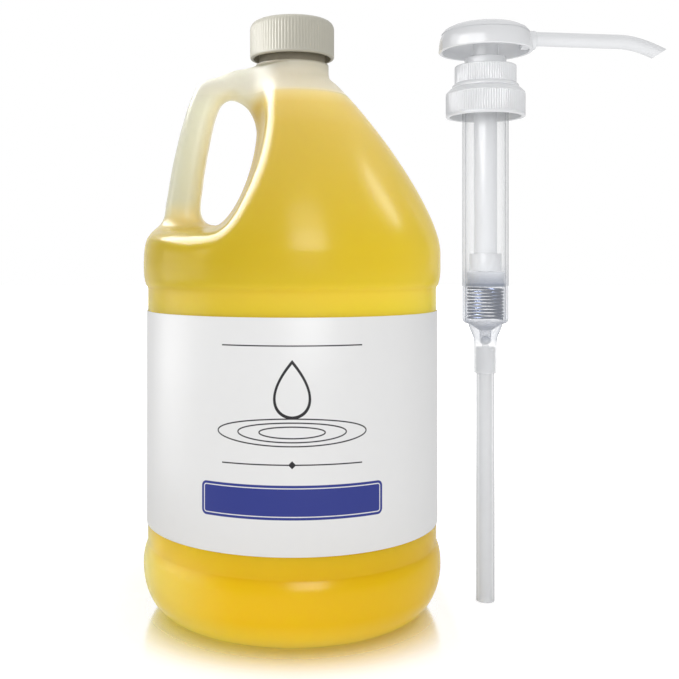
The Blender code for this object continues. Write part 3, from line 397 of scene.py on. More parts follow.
class Nodes:
    """A tree of nodes, and short ways to add the nodes that are used most."""

    def __init__(self, tree):
        self.tree = tree

    def add(self, kind, settings=None, sockets=None, output=0):
        """Adds a node by its type, its settings and the values or links of its sockets."""
        node = self.tree.nodes.new("ShaderNode" + kind)
        for key, value in (settings or {}).items():
            if key == "stops":
                ramp = node.color_ramp
                while len(ramp.elements) < len(value):
                    ramp.elements.new(0.5)
                for element, (position, colour) in zip(ramp.elements, value):
                    element.position = position
                    element.color = (*colour, 1)
            else:
                setattr(node, key, value)
        for key, value in (sockets or {}).items():
            self.join(node.inputs[key], value)
        return Socket(self, node.outputs[output])

    def join(self, target, value):
        """Links a socket to another one's output, or sets its value."""
        if isinstance(value, Socket):
            self.tree.links.new(value.output, target)
        elif target.type == "RGBA":
            target.default_value = (*value, 1.0)
        else:
            target.default_value = value

    def place(self):
        """Object coordinates."""
        return self.add("TexCoord", output="Object")

    def axes(self, place):
        """The X, Y and Z of a place or of a direction."""
        x = self.add("SeparateXYZ", None, {0: place}, output="X")
        return x, x.also("Y"), x.also("Z")

    def noise(self, vector, scale, detail):
        return self.add("TexNoise", None, {"Vector": vector, "Scale": scale, "Detail": detail})

    def ramp(self, value, start, end, smooth=True):
        """0 at the start and 1 at the end."""
        easing = "SMOOTHSTEP" if smooth else "LINEAR"
        sockets = {"Value": value, "From Min": start, "From Max": end, "To Min": 0.0, "To Max": 1.0}
        return self.add("MapRange", {"interpolation_type": easing, "clamp": True}, sockets)

    def mix(self, factor, first, second):
        return self.add("Mix", {"data_type": "RGBA"}, {0: factor, 6: first, 7: second}, output=2)

    def tint(self, colour, factor, share):
        """A colour made lighter and darker by a value round 0.5."""
        shade = self.add("CombineXYZ", None, {0: factor, 1: factor, 2: factor})
        sockets = {0: shade, 1: (share,) * 3, 2: (1 - share / 2,) * 3}
        level = self.add("VectorMath", {"operation": "MULTIPLY_ADD"}, sockets)
        return self.add("VectorMath", {"operation": "MULTIPLY"}, {0: colour, 1: level})


class Finish(Nodes):
    """A material round one Principled shader, whose plain values are set on its own sockets."""

    def __init__(self, name, **plain):
        self.material = bpy.data.materials.new(name)
        self.material.use_nodes = True
        super().__init__(self.material.node_tree)
        self.shader = self.tree.nodes["Principled BSDF"]
        for key, value in plain.items():
            self.feed(key.replace("_", " ").title().replace("Ior", "IOR"), value)

    def feed(self, name, value):
        self.join(self.shader.inputs[name], value)

    def bump(self, height, distance, strength):
        sockets = {"Height": height, "Distance": distance, "Strength": strength}
        self.feed("Normal", self.add("Bump", None, sockets))


def srgb(red, green, blue):
    """A screen colour of 0 to 255 as the linear colour that a shader takes."""
    levels = [level / 255 for level in (red, green, blue)]
    return tuple(c / 12.92 if c <= 0.04045 else ((c + 0.055) / 1.055) ** 2.4 for c in levels)


def oil_colours():
    """The oil's colour by height as it shows through the jug's wall, from the foot to the oil's line. Some of
    it is painted light: a pale glow at the very foot, the bumper lighter than the panel above it, and the
    band over the label lighter than the bulge above it.
    """
    heights = (
        # Painted glow at the very foot
        (0.0, (255, 226, 104)),
        (0.007, (250, 210, 62)),
        (0.015, (240, 196, 14)),
        # Painted light: the bumper lighter than the panel above it
        (0.0325, (238, 195, 8)),
        (0.0352, (231, 188, 4)),
        # Painted light: the band over the label lighter than the bulge above it
        (0.152, (240, 210, 52)),
        (0.163, (238, 208, 60)),
        (0.169, (222, 194, 38)),
        (0.190, (224, 195, 50)),
        (0.220, (226, 196, 74)),
        (0.245, (226, 196, 88)),
        (0.257, (224, 196, 104)),
        (OIL_LEVEL, (230, 210, 142)),
    )
    return [(height / OIL_LEVEL, srgb(*colour)) for height, colour in heights]


WHITE = (1.0, 1.0, 1.0)
SOFT_GLOW = {"subsurface_weight": 0.8, "subsurface_radius": WHITE, "subsurface_scale": 0.014}


def oil_behind(finish, height, side):
    """The oil's gold, with painted light: one side painted lighter, the left low down and the right high up,
    and a painted glow low on the left and along the left edge.
    """
    oil = finish.add("ValToRGB", {"stops": oil_colours()}, {0: height / OIL_LEVEL})
    # Painted light: the lighter side of the oil swaps from left at the foot to right at the top
    side_light = 2.0 * finish.ramp(height, *PAINTED_SIDE_LIGHT) - 1.0
    oil = finish.tint(oil, 0.5 + side * side_light, 0.13)
    # Painted glow low on the left and along the left edge
    low_left_glow = 0.45 * finish.ramp(side, -0.30, -0.85) * finish.ramp(height, *FOOT_GLOW)
    return finish.mix(low_left_glow + 0.65 * finish.ramp(side, -0.80, -1.0), oil, srgb(255, 230, 122))


def dry_handle(finish, height):
    """Ivory with a painted glow along its rim, where light shows through its edges. The handle takes on the
    oil's tone at its root.
    """
    ivory = finish.mix(finish.ramp(height, *HANDLE_ROOT), srgb(246, 221, 130), srgb(217, 216, 193))
    ivory = finish.mix(finish.ramp(height, *HANDLE_ARCH), ivory, srgb(208, 205, 189))
    # Painted glow along the rim, paler where the surface turns away
    rim = finish.add("LayerWeight", None, {"Blend": 0.5}, output="Facing")
    return finish.mix(0.9 * rim**1.3, ivory, srgb(255, 253, 232))


def dry_neck(finish, height):
    """Ivory above the oil, with painted shade: darker up the neck towards the cap, and darker still in the
    cap's shade.
    """
    # Painted shade: the neck's upper part darker than its foot
    ivory = finish.mix(finish.ramp(height, *NECK_PAINTED_SHADE), srgb(219, 210, 185), srgb(206, 198, 176))
    below, above = CAP_SHADE
    shaded = finish.ramp(height, *below) * finish.ramp(height, *above)
    return finish.mix(shaded, ivory, srgb(152, 144, 124))


def jug_plastic():
    """Milky polyethylene: gold where oil stands behind it, ivory above its line and along the dry handle."""
    finish = Finish("milky_polyethylene", specular_ior_level=0.3, **SOFT_GLOW)
    place = finish.place()
    x, y, height = finish.axes(place)
    cloud = finish.noise(place, 24.0, 3.0)
    line = OIL_LEVEL + 0.0012 * (cloud - 0.5)
    above = finish.ramp(height - line, -0.0016, 0.0022)
    recess_wall = finish.ramp(x - JUG_X, -0.0100, -0.0140)
    above = above + recess_wall * (finish.ramp(height, *RECESS_OIL_LINE) - above)
    oil = oil_behind(finish, height, (x - JUG_X) / BULGE_RADIUS)
    colour = finish.mix(above, oil, dry_neck(finish, height))
    handle = finish.add("Attribute", {"attribute_name": "handle"}, output="Fac")
    colour = finish.mix(handle, colour, dry_handle(finish, height))
    finish.feed("Base Color", finish.tint(colour, cloud, 0.05))
    finish.feed("Roughness", 0.235 + 0.02 * cloud + 0.20 * finish.ramp(height, *DULL_ABOVE_OIL))
    parting_line = finish.ramp(abs(y), 0.0006, 0.0001)
    finish.bump(0.4 * cloud + 0.7 * parting_line, 0.00012, 0.4)
    return finish.material


def oil_gold():
    finish = Finish("golden_oil", roughness=0.06, specular_ior_level=0.5)
    swirl = finish.noise(finish.place(), 9.0, 2.0)
    finish.feed("Base Color", finish.mix(swirl, srgb(214, 172, 30), srgb(228, 190, 52)))
    finish.bump(swirl, 0.0002, 0.2)
    return finish.material


def label_print():
    """White film with a plain printed design: a drop over ripples, fine rules and a blue band."""
    finish = Finish("printed_label_film", roughness=0.38, specular_ior_level=0.4)
    place = finish.place()
    x, y, z = finish.axes(place)
    across = finish.add("Math", {"operation": "ARCTAN2"}, {0: x - JUG_X, 1: 0.0 - y}) * LABEL_OUTSIDE
    up = z - LABEL_FOOT

    def within(distance):
        """1 where a distance in metres is below zero, with a soft edge."""
        return finish.ramp(distance, 0.0001, -0.0001, smooth=False)

    def band(level, half_width, half_height, corner):
        """Distance to a rectangle with round corners."""
        dx = abs(across) - (half_width - corner)
        dz = abs(up - level) - (half_height - corner)
        outside = (dx.larger(0.0) ** 2.0 + dz.larger(0.0) ** 2.0) ** 0.5
        return outside + dx.larger(dz).smaller(0.0) - corner

    def drop(foot, length, half_width):
        """Distance-like value of a drop that stands on a height."""
        share = ((up - foot) / length).larger(0.0).smaller(1.0)
        return abs(across) + 0.0002 - 2.6 * half_width * (share**0.5) * (1.0 - share)

    def ripple(level, half_width, half_height, line):
        """Distance to the line of an ellipse."""
        ring = ((across / half_width) ** 2.0 + ((up - level) / half_height) ** 2.0) ** 0.5
        slope = ((across / half_width**2) ** 2.0 + ((up - level) / half_height**2) ** 2.0) ** 0.5
        return abs(ring * (ring - 1.0) / slope) - line

    ink, blue, paper = srgb(38, 36, 40), srgb(46, 58, 142), srgb(238, 238, 238)
    water, rule_heights, fine_line = 0.0560, (0.0950, 0.0415), 0.0003
    dark = within(drop(0.0620, 0.0270, 0.0088)) * (1.0 - within(drop(0.0634, 0.0236, 0.0076)))
    for half_width, half_height in ((0.0150, 0.0026), (0.0250, 0.0044), (0.0350, 0.0062)):
        dark = dark.larger(within(ripple(water, half_width, half_height, fine_line)))
    for level in rule_heights:
        dark = dark.larger(within(band(level, 0.0330, fine_line, 0.0002)))
    dark = dark.larger(within(abs(across) + abs(up - rule_heights[1]) - 0.0018))
    panel = band(0.0245, 0.0440, 0.0078, 0.0026)
    keyline = within(abs(panel + 0.0014) - 0.00022)
    colour = finish.mix(dark, paper, ink)
    colour = finish.mix(within(panel), colour, blue)
    colour = finish.mix(keyline, colour, paper)
    fibre = finish.noise(place, 160.0, 3.0)
    finish.feed("Base Color", finish.tint(colour, fibre, 0.02))
    finish.feed("Roughness", 0.34 + 0.10 * fibre)
    finish.bump(finish.noise(place, 30.0, 2.0), 0.00015, 0.35)
    return finish.material


def moulded(name, colour, roughness, grain_scale=700.0, tone=0.03, **plain):
    """Moulded plastic with a fine satin grain and a faint change of tone."""
    finish = Finish(name, **plain)
    place = finish.place()
    grain = finish.noise(place, grain_scale, 3.0)
    cloud = finish.noise(place, 60.0, 2.0)
    finish.feed("Base Color", finish.mix(cloud, tuple(c * (1 - tone) for c in colour), colour))
    finish.feed("Roughness", roughness - 0.05 + 0.10 * grain)
    finish.bump(grain, 0.00005, 0.35)
    return finish.material


def clear_plastic(name, colour, face_on, edge_on, sharpness, hazy_shaded_foot=False):
    """Clear plastic that shows faint face-on and greyer towards its edges, with painted shade for the
    darkening that refraction gives there. The pump's foot is hazier, with painted grey in its cylinder for
    refraction, and turns pale again at its socket.
    """
    finish = Finish(name, specular_ior_level=0.4)
    place = finish.place()
    haze = finish.noise(place, 180.0, 3.0)
    facing = finish.add("LayerWeight", None, {"Blend": 0.5}, output="Facing")
    cover = face_on + (edge_on - face_on) * facing**sharpness + 0.02 * haze
    shade = finish.mix(haze, tuple(c * 0.97 for c in colour), colour)
    # Painted shade: near-black towards the edges, for the dark rim that refraction gives
    shade = finish.mix(facing**3.2, shade, tuple(c * 0.12 for c in colour))
    if hazy_shaded_foot:
        _, _, height = finish.axes(place)
        # Haze, and painted grey for the refraction in the cylinder's foot
        low = finish.ramp(height, *CYLINDER_HAZE_AND_SHADE)
        cover = cover + 0.12 * low + 0.16 * finish.ramp(height, *FUNNEL_HAZE)
        shade = finish.mix(low, shade, srgb(196, 200, 209))
        # The painted grey ends, and the socket turns pale
        shade = finish.mix(finish.ramp(height, *SOCKET_CLEARS), shade, srgb(242, 243, 245))
    finish.feed("Base Color", shade)
    finish.feed("Alpha", cover)
    finish.feed("Roughness", 0.08 + 0.08 * haze)
    return finish.material


def seal_plastic():
    """Soft grey plastic, with a painted highlight towards its upper lip and painted shade darkest along its
    lower one.
    """
    finish = Finish("grey_seal_plastic")
    place = finish.place()
    _, _, height = finish.axes(place)
    cloud = finish.noise(place, 90.0, 2.0)
    # Painted highlight towards the upper lip, and painted shade along the lower lip
    colour = finish.mix(finish.ramp(height, 0.1668, 0.1728), srgb(186, 191, 202), srgb(246, 248, 252))
    colour = finish.mix(finish.ramp(height, 0.1672, 0.1664), colour, srgb(138, 146, 163))
    finish.feed("Base Color", finish.tint(colour, cloud, 0.05))
    finish.feed("Roughness", 0.28 + 0.08 * cloud)
    return finish.material


JUG_PLASTIC = jug_plastic()
OIL = oil_gold()
LABEL = label_print()
CAP_PLASTIC = moulded("ivory_cap_plastic", srgb(190, 187, 174), 0.40, specular_ior_level=0.4)
FOAM = moulded("white_liner_foam", srgb(240, 240, 236), 0.85, 260.0)
PUMP_PLASTIC = moulded("white_pump_plastic", srgb(224, 225, 227), 0.24, specular_ior_level=0.35)
CLEAR_PLASTIC = clear_plastic("clear_barrel_plastic", srgb(236, 238, 241), 0.08, 0.90, 3.0, hazy_shaded_foot=True)
TUBE_PLASTIC = clear_plastic("hazy_tube_plastic", srgb(244, 245, 247), 0.45, 0.92, 1.6)
SEAL_PLASTIC = seal_plastic()
STEEL = moulded("spring_steel", srgb(60, 66, 82), 0.30, 1800.0, 0.12, metallic=0.9)
GLASS = clear_plastic("valve_ball_glass", srgb(226, 229, 233), 0.75, 0.95, 1.0)


# Jug


def jug_shoulder(count):
    """The jug's outside from the top of its neck down over the shoulder to the bulge."""
    points = [(NECK_RADIUS, NECK_TOP), (NECK_RADIUS, NECK_FOOT + 0.002)]
    points += curve(
        (NECK_RADIUS, NECK_FOOT),
        (NECK_RADIUS, NECK_FOOT - 0.0040),
        (SHOULDER_TOP_RADIUS - 0.0034, SHOULDER_TOP + 0.0034),
        (SHOULDER_TOP_RADIUS, SHOULDER_TOP),
        12,
    )
    slope = curve((SHOULDER_TOP_RADIUS, SHOULDER_TOP), *SHOULDER_CURVE, (BULGE_RADIUS, BULGE_TOP), count)
    return points + slope[1:]


def jug_foot(count):
    """The jug's outside from the seam in its bulge down over the label panel and bumper to its base."""
    step = BULGE_RADIUS - PANEL_RADIUS
    points = [(BULGE_RADIUS, SEAM - 0.0006), (BULGE_RADIUS, SEAM - 0.002)]
    points += arc((PANEL_RADIUS, BULGE_FOOT), (step, BULGE_FOOT - PANEL_TOP), 0, -80, 2 * count)
    levels = (PANEL_TOP - step / 2, 0.155, 0.145, 0.10, 0.055, 0.044, PANEL_FOOT + 0.004)
    points += [(PANEL_RADIUS, level) for level in levels]
    points += curve(
        (PANEL_RADIUS, PANEL_FOOT + 0.0010),
        (PANEL_RADIUS, PANEL_FOOT - 0.0008),
        (BULGE_RADIUS, PANEL_FOOT - 0.0024),
        (BULGE_RADIUS, BUMPER_HEIGHT),
        4 * count,
    )
    heel = (BULGE_RADIUS - FOOT_RADIUS, BUMPER_HEIGHT)
    points += arc((FOOT_RADIUS, BUMPER_HEIGHT), heel, -6, -90, 3 * count)
    push_up = FOOT_INSIDE - PUSH_UP
    return points + [(FOOT_INSIDE, 0.0, 0.0015), (push_up, PUSH_UP, 0.002), (0.02, PUSH_UP), (0.0, PUSH_UP)]


def recess_x(height, depth, wall):
    """Where the finger recess's wall stands, as x, at a height and a distance from the middle plane."""
    level = height + LEDGE_DROP * (depth / RECESS_SPREAD) ** 2 + wall
    if level < RECESS_FLOOR:
        reach = RECESS_CENTRE + (RECESS_FLOOR - level) * LEDGE_SLOPE
    elif level < RECESS_WAIST:
        rise = (RECESS_WAIST - level) / (RECESS_WAIST - RECESS_FLOOR)
        reach = RECESS_CENTRE - RECESS_WIDTH * (1 - rise**RECESS_CURVE) ** (1 / RECESS_CURVE)
    else:
        reach = RECESS_CENTRE - RECESS_WIDTH
    spine = RECESS_SPINE * (1 - 0.5 * eased(height, *SPINE_NARROWS))
    flare = RECESS_FLARE * eased(abs(depth), 0, spine) * (0.78 + 0.22 * eased(height, *FLARE_GROWS))
    return wall - reach + flare - 0.0030 * eased(height, *RECESS_CLOSES)


def scoop(shape, wall):
    """Presses the finger recess into the turned jug."""
    for corner in shape.verts:
        x, depth, height = corner.co
        if x < 0 and height < NECK_FOOT:
            corner.co.x = max(x, recess_x(height, depth, wall))
    return shape


def crease_points(shape):
    """The middles of the recess's sharp edges, for finding how near a point is to them."""
    shape.normal_update()
    sharp = [edge for edge in shape.edges if edge.calc_face_angle(0) > CREASE_ANGLE]
    middles = [(edge.verts[0].co + edge.verts[1].co) / 2 for edge in sharp if edge.verts[0].co.x < 0]
    middles = [middle for middle in middles if SEAM < middle.z < NECK_FOOT]
    tree = KDTree(len(middles))
    for i, middle in enumerate(middles):
        tree.insert(middle, i)
    tree.balance()
    return tree


def soften(shape, gaps, reach, rounds):
    """Rounds a shape off near some lines, most on the lines themselves and less and less away from them."""
    for step in range(rounds):
        near = [corner for corner, gap in gaps.items() if gap < reach * (1 - step / rounds)]
        bmesh.ops.smooth_vert(
            shape, verts=near, factor=0.5, use_axis_x=True, use_axis_y=True, use_axis_z=True
        )


def handle_line(points, share):
    """A point on the smooth line through the points, at a share of its length counted in points."""
    place = share * (len(points) - 1)
    i = min(int(place), len(points) - 2)
    t = place - i
    before, start, end, after = (points[min(max(i + k, 0), len(points) - 1)] for k in (-1, 0, 1, 2))
    found = []
    for a, b, c, d in zip(before, start, end, after):
        found.append(b + 0.5 * t * (c - a + t * (2 * a - 5 * b + 4 * c - d + t * (3 * (b - c) + d - a))))
    return Vector((found[0] / 1000, 0, found[1] / 1000))


def handle_bar():
    """The grip and bar as rings that each span the handle's outer and inner outline."""
    outer_line, inner_line = zip(*HANDLE_PAIRS)
    rings = 4 * (len(HANDLE_PAIRS) - 1) + 1
    shares = [i / (rings - 1) for i in range(rings)]
    middles = []
    for share in shares:
        outer, inner = handle_line(outer_line, share), handle_line(inner_line, share)
        middles.append(((outer + inner) / 2, (outer - inner) / 2))

    def place(i, angle):
        middle, half = middles[i]
        across, along = math.cos(angle), math.sin(angle)
        power = 2 / (HANDLE_SQUARENESS - 0.8 * eased(shares[i], *HANDLE_ROUNDS))
        side = math.copysign(abs(across) ** power, across) * HANDLE_DEPTH / 2
        return middle + Vector((0, side, 0)) + half * math.copysign(abs(along) ** power, along)

    return close_ends(sweep(rings, 48, place))


def remeshed(shape):
    """The outside of overlapping shapes as one even skin."""
    skin = as_object("skin", shape)
    remesh = skin.modifiers.new("skin", "REMESH")
    remesh.mode = "VOXEL"
    remesh.voxel_size = VOXEL
    bpy.context.view_layer.update()
    overlapping = skin.data
    even = bpy.data.meshes.new_from_object(skin.evaluated_get(bpy.context.evaluated_depsgraph_get()))
    shape = bmesh.new()
    shape.from_mesh(even)
    bpy.data.objects.remove(skin)
    for mesh in (overlapping, even):
        bpy.data.meshes.remove(mesh)
    return shape


def gap_to(face, point):
    """How far a point is from a face, and the way straight out of it."""
    found, normal, _, gap = face.find_nearest(point)
    return gap, (point - found) / gap if gap > 0.0001 else normal


def to_blend(point, one, other):
    """The step from a point to the skin that joins two closed faces with a fillet."""
    gaps = sorted((gap_to(one, point), gap_to(other, point)), key=lambda found: found[0])
    (near, near_way), (far, far_way) = gaps
    root, arch, top = HANDLE_BLENDS
    width = root + (arch - root) * eased(point.z, *GRIP_ENDS) + (top - arch) * eased(point.z, *BAR_STARTS)
    share = max(width - (far - near), 0) / width
    way = near_way * (1 - share / 2) + far_way * (share / 2)
    return way * ((share * share * width / 4 - near) / max(way.length_squared, 0.25))


def jug_top():
    """The shoulder with its recess and handle, whose joins are smoothed into fillets."""
    foot = SEAM - 0.009
    blank = [(0.0, NECK_TOP), *jug_shoulder(80)]
    blank += [(BULGE_RADIUS, SEAM - 0.003), (BULGE_RADIUS, foot), (0.0, foot)]
    body = scoop(turn(outline(blank), 360), 0)
    creases = crease_points(body)
    bmesh.ops.triangulate(body, faces=body.faces)
    bar = handle_bar()
    body_face, bar_face = BVHTree.FromBMesh(body), BVHTree.FromBMesh(bar)
    shape = remeshed(add_shape(body, bar))
    layer = shape.verts.layers.float.new("handle")
    reach = {}
    for corner in shape.verts:
        on_body, on_bar = body_face.find_nearest(corner.co), bar_face.find_nearest(corner.co)
        reach[corner] = (on_body[3], on_bar[3])
        corner.co = on_body[0] if on_body[3] < on_bar[3] else on_bar[0]
        for _ in range(4):
            corner.co += to_blend(corner.co, body_face, bar_face)
    to_crease = {corner: creases.find(corner.co)[2] for corner in reach}
    for corner in to_crease:
        to_crease[corner] *= 0.7 if corner.co.z < LEDGE_TOP else 1
    soften(shape, to_crease, *RECESS_ROUNDING)
    soften(shape, {corner: max(gaps) for corner, gaps in reach.items()}, *HANDLE_ROUNDING)
    for corner, (to_body, to_bar) in reach.items():
        corner[layer] = eased(to_body - to_bar, -0.012, 0.020)
    cut_away(shape, (0, 0, SEAM), (0, 0, -1))
    cut_away(shape, (0, 0, NECK_TOP - 0.0012), (0, 0, 1))
    return shape


def make_jug():
    """The jug's skin: its top with the handle, its foot, and the finish that carries the cap."""
    shape = add_shape(jug_top(), turn(outline(jug_foot(4)), JUG_STEPS))
    bmesh.ops.bridge_loops(shape, edges=open_edges(shape, lambda place: place.z < BULGE_TOP))
    lip = [
        (NECK_RADIUS, NECK_TOP - 0.0006),
        (NECK_RADIUS, NECK_TOP, 0.0004),
        (FINISH_RADIUS, NECK_TOP, 0.0004),
        (FINISH_RADIUS, RIM, 0.0006),
        (BORE_RADIUS, RIM, 0.0006),
        (BORE_RADIUS, OIL_LEVEL - 2 * WALL),
        (0.0, OIL_LEVEL - 2 * WALL),
    ]
    add_shape(shape, turn(outline(lip), JUG_STEPS))
    bmesh.ops.bridge_loops(shape, edges=open_edges(shape, lambda place: place.z > BULGE_TOP))
    face_outwards(shape)
    finished("jug_shell", shape, JUG_X, JUG_PLASTIC, "jug", "natural_polyethylene", "jug")


def make_neck_thread():
    """The ridge that the cap screws on: one and a half turns round the finish."""
    start, lead, turns = 0.2875, 0.0042, 1.5
    root, crest = FINISH_RADIUS - 0.0003, FINISH_RADIUS + 0.0011
    section = [(root, start - 0.0011), (crest, start - 0.0004, FINE_EDGE)]
    section += [(crest, start + 0.0004, FINE_EDGE), (root, start + 0.0011)]
    shape = close_ends(turn(outline(section, closed=True), 180, 2 * math.pi * turns, lead * turns))
    finished("neck_thread", shape, JUG_X, JUG_PLASTIC, "jug", "natural_polyethylene")


def make_oil():
    """The oil's fill, level at its line."""
    gap = 0.0025
    points = [(radius - gap, height) for radius, height in jug_shoulder(40) if height < OIL_LEVEL - 0.001]
    points += [(radius - gap, height) for radius, height, *_ in jug_foot(3) if radius > FOOT_INSIDE + 0.004]
    points = [(0.0, OIL_LEVEL), (points[0][0], OIL_LEVEL, 0.0004)] + points
    points = [point for point in points if point[1] > 0.004] + [(FOOT_RADIUS - 0.008, 0.008), (0.0, 0.008)]
    shape = scoop(turn(outline(points), 120), 3 * gap)
    finished("oil_fill", shape, JUG_X, OIL, "jug", "golden_oil", "oil")


def make_label():
    """The wrapped film, with its seam at the back."""
    section = [(LABEL_OUTSIDE, LABEL_TOP, 0.0001), (LABEL_OUTSIDE, 0.118), (LABEL_OUTSIDE, 0.08)]
    section += [(LABEL_OUTSIDE, LABEL_FOOT, 0.0001), (LABEL_INSIDE, LABEL_FOOT), (LABEL_INSIDE, LABEL_TOP)]
    shape = close_ends(turn(outline(section, closed=True), 200, 2 * math.pi - LABEL_GAP))
    to_back = Matrix.Rotation((math.pi + LABEL_GAP) / 2, 3, "Z")
    bmesh.ops.rotate(shape, verts=shape.verts, cent=(0, 0, 0), matrix=to_back)
    finished("label_film", shape, JUG_X, LABEL, "jug", "white_label_film", "label")


def make_cap():
    radius, bore, foot, top, ceiling, ribs = 0.0221, 0.0202, 0.2844, 0.3040, 0.3024, 84
    section = [(0.0, top), (0.012, top), (radius, top, 0.0044), (radius, top - 0.0054)]
    section += [(radius, foot + 0.0018), (radius, foot + 0.0013), (radius, foot, 0.0010)]
    section += [(bore, foot, EDGE), (bore, ceiling, 0.0004), (0.0, ceiling)]
    shape = turn(outline(section), 8 * ribs)
    press_ribs(shape, ribs, 0.00024, radius, foot + 0.0016, top - 0.0022)
    finished("cap_shell", shape, JUG_X, CAP_PLASTIC, "screw_cap", "ivory_cap_plastic", "screw_cap")


def make_liner():
    low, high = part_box("cap_liner")
    radius = (high.x - low.x) / 2
    section = [(0.0, high.z), (radius, high.z, FINE_EDGE), (radius, low.z, FINE_EDGE), (0.0, low.z)]
    shape = turn(outline(section), PUMP_STEPS)
    finished("cap_liner_disc", shape, JUG_X, FOAM, "cap_liner", "white_liner_foam", "cap_liner")


# Pump


def pump_piece(name, section, finish, body, slot, *nodes, steps=PUMP_STEPS):
    """A turned ring of the pump, from its section."""
    return finished(name, turn(outline(section, closed=True), steps), PUMP_X, finish, body, slot, *nodes)


def make_dip_tube():
    radius, bore, top = 0.0047, 0.0032, 0.1330
    section = [(radius, top, EDGE), (radius, 0.09), (radius, 0.045), (radius, 0.0, EDGE)]
    section += [(bore, 0.0, EDGE), (bore, top, EDGE)]
    slot = "clear_barrel_plastic"
    pump_piece("suction_tube", section, TUBE_PLASTIC, "pump_housing", slot, "dip_tube", steps=48)


def make_barrel():
    """The clear cylinder with its flange, threaded neck, funnel, valve seat and tube socket."""
    radius, bore, neck, flange, top, middle = 0.0120, 0.0107, 0.0132, 0.0183, 0.2776, 0.20
    flange_top, flange_foot, funnel_top, funnel_round, funnel_foot = 0.2672, 0.2656, 0.1483, 0.0026, 0.1400
    socket, socket_bore, socket_top, socket_foot = 0.0059, 0.0050, 0.1333, 0.1198
    seat_bore, seat, chamber = 0.0017, 0.1348, 0.0030
    section = [(neck, top, EDGE), (neck, flange_top), (flange, flange_top, EDGE), (flange, flange_foot, EDGE)]
    section += [(radius, flange_foot), (radius, middle), (radius, funnel_top)]
    section += arc((radius - funnel_round, funnel_top), (funnel_round, funnel_round), -15, -90, 6)
    funnel = (0.0090, funnel_top - funnel_round)
    section += curve(funnel, (0.0075, funnel_foot), (socket, funnel_foot), (socket, seat), 8)
    section += [(socket, socket_foot, FINE_EDGE), (socket_bore, socket_foot, FINE_EDGE)]
    section += [(socket_bore, socket_top), (seat_bore, socket_top), (seat_bore, seat)]
    section += [(chamber, seat + 0.0013), (chamber, seat + 0.0072), (bore, seat + 0.0122)]
    section += [(bore, middle), (bore, top, EDGE)]
    slot = "clear_barrel_plastic"
    barrel = pump_piece("barrel_tube", section, CLEAR_PLASTIC, "pump_housing", slot, "barrel")
    barrel.visible_shadow = False


def make_balls():
    for name in ("inlet_ball", "outlet_ball"):
        low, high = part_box(name)
        shape = bmesh.new()
        bmesh.ops.create_icosphere(shape, subdivisions=4, radius=(high.z - low.z) / 2)
        bmesh.ops.translate(shape, verts=shape.verts, vec=(0, 0, (low.z + high.z) / 2))
        finished(name + "_bead", shape, PUMP_X, GLASS, name, "valve_ball_glass", name)


def make_gasket():
    radius, bore, foot, top = 0.0183, 0.0123, 0.2640, 0.2653
    section = [(radius, top, EDGE), (radius, foot, EDGE), (bore, foot), (bore, top)]
    pump_piece("gasket_ring", section, FOAM, "pump_housing", "white_liner_foam", "neck_gasket")


def make_closure():
    radius, bore, hole, foot, ceiling, top, ribs = 0.0206, 0.0185, 0.0135, 0.2541, 0.2675, 0.2691, 96
    section = [(radius - 0.0026, top, 0.0006), (radius, top - 0.0026, 0.0006), (radius, top - 0.0036)]
    section += [(radius, foot + 0.0018), (radius, foot + 0.0014), (radius, foot, 0.0004)]
    section += [(bore, foot, EDGE), (bore, ceiling), (hole, ceiling), (hole, top, EDGE)]
    shape = turn(outline(section, closed=True), 6 * ribs)
    press_ribs(shape, ribs, 0.00045, radius, foot + 0.0016, top - 0.0030)
    slot = "white_pump_plastic"
    finished("closure_collar", shape, PUMP_X, PUMP_PLASTIC, "pump_closure", slot, "pump_closure")


def make_retainer():
    radius, bore, hole, foot, ceiling, top, ribs = 0.0160, 0.0135, 0.0111, 0.2694, 0.2793, 0.2809, 76
    bead = radius + 0.0013
    section = [(hole, top, EDGE), (radius, top, 0.0007), (radius, top - 0.0012), (radius, foot + 0.0026)]
    section += [(radius, foot + 0.0022, FINE_EDGE), (bead, foot + 0.0012, 0.0004), (bead, foot, EDGE)]
    section += [(bore, foot), (bore, ceiling), (hole, ceiling)]
    shape = turn(outline(section, closed=True), 6 * ribs)
    press_ribs(shape, ribs, 0.00045, radius, foot + 0.0024, top - 0.0010)
    slot = "white_pump_plastic"
    finished("retainer_collar", shape, PUMP_X, PUMP_PLASTIC, "pump_housing", slot, "retainer_nut")


def make_bushing():
    """The lock ring, the rim that the collar holds, and the sleeve that guides the stem."""
    ring, rim, sleeve, bore = 0.0108, 0.0129, 0.0104, 0.0063
    top, rim_top, rim_foot, foot = 0.2852, 0.2790, 0.2779, 0.2634
    section = [(ring, top, 0.0006), (ring, rim_top), (rim, rim_top), (rim, rim_foot), (sleeve, rim_foot)]
    section += [(sleeve, foot, EDGE), (bore, foot, EDGE), (bore, top, 0.0004)]
    pump_piece("lock_ring", section, PUMP_PLASTIC, "pump_housing", "white_pump_plastic", "lock_bushing")


def make_seal():
    lip, waist, bore, top, foot = 0.0104, 0.0094, 0.0049, 0.1728, 0.1652
    section = [(lip, top, FINE_EDGE), (waist, top - 0.0028, 0.0006), (waist, foot + 0.0028, 0.0006)]
    section += [(lip, foot, FINE_EDGE), (bore, foot, FINE_EDGE), (bore, top, FINE_EDGE)]
    pump_piece("seal_cup", section, SEAL_PLASTIC, "piston_seal", "grey_seal_plastic", "piston_seal")


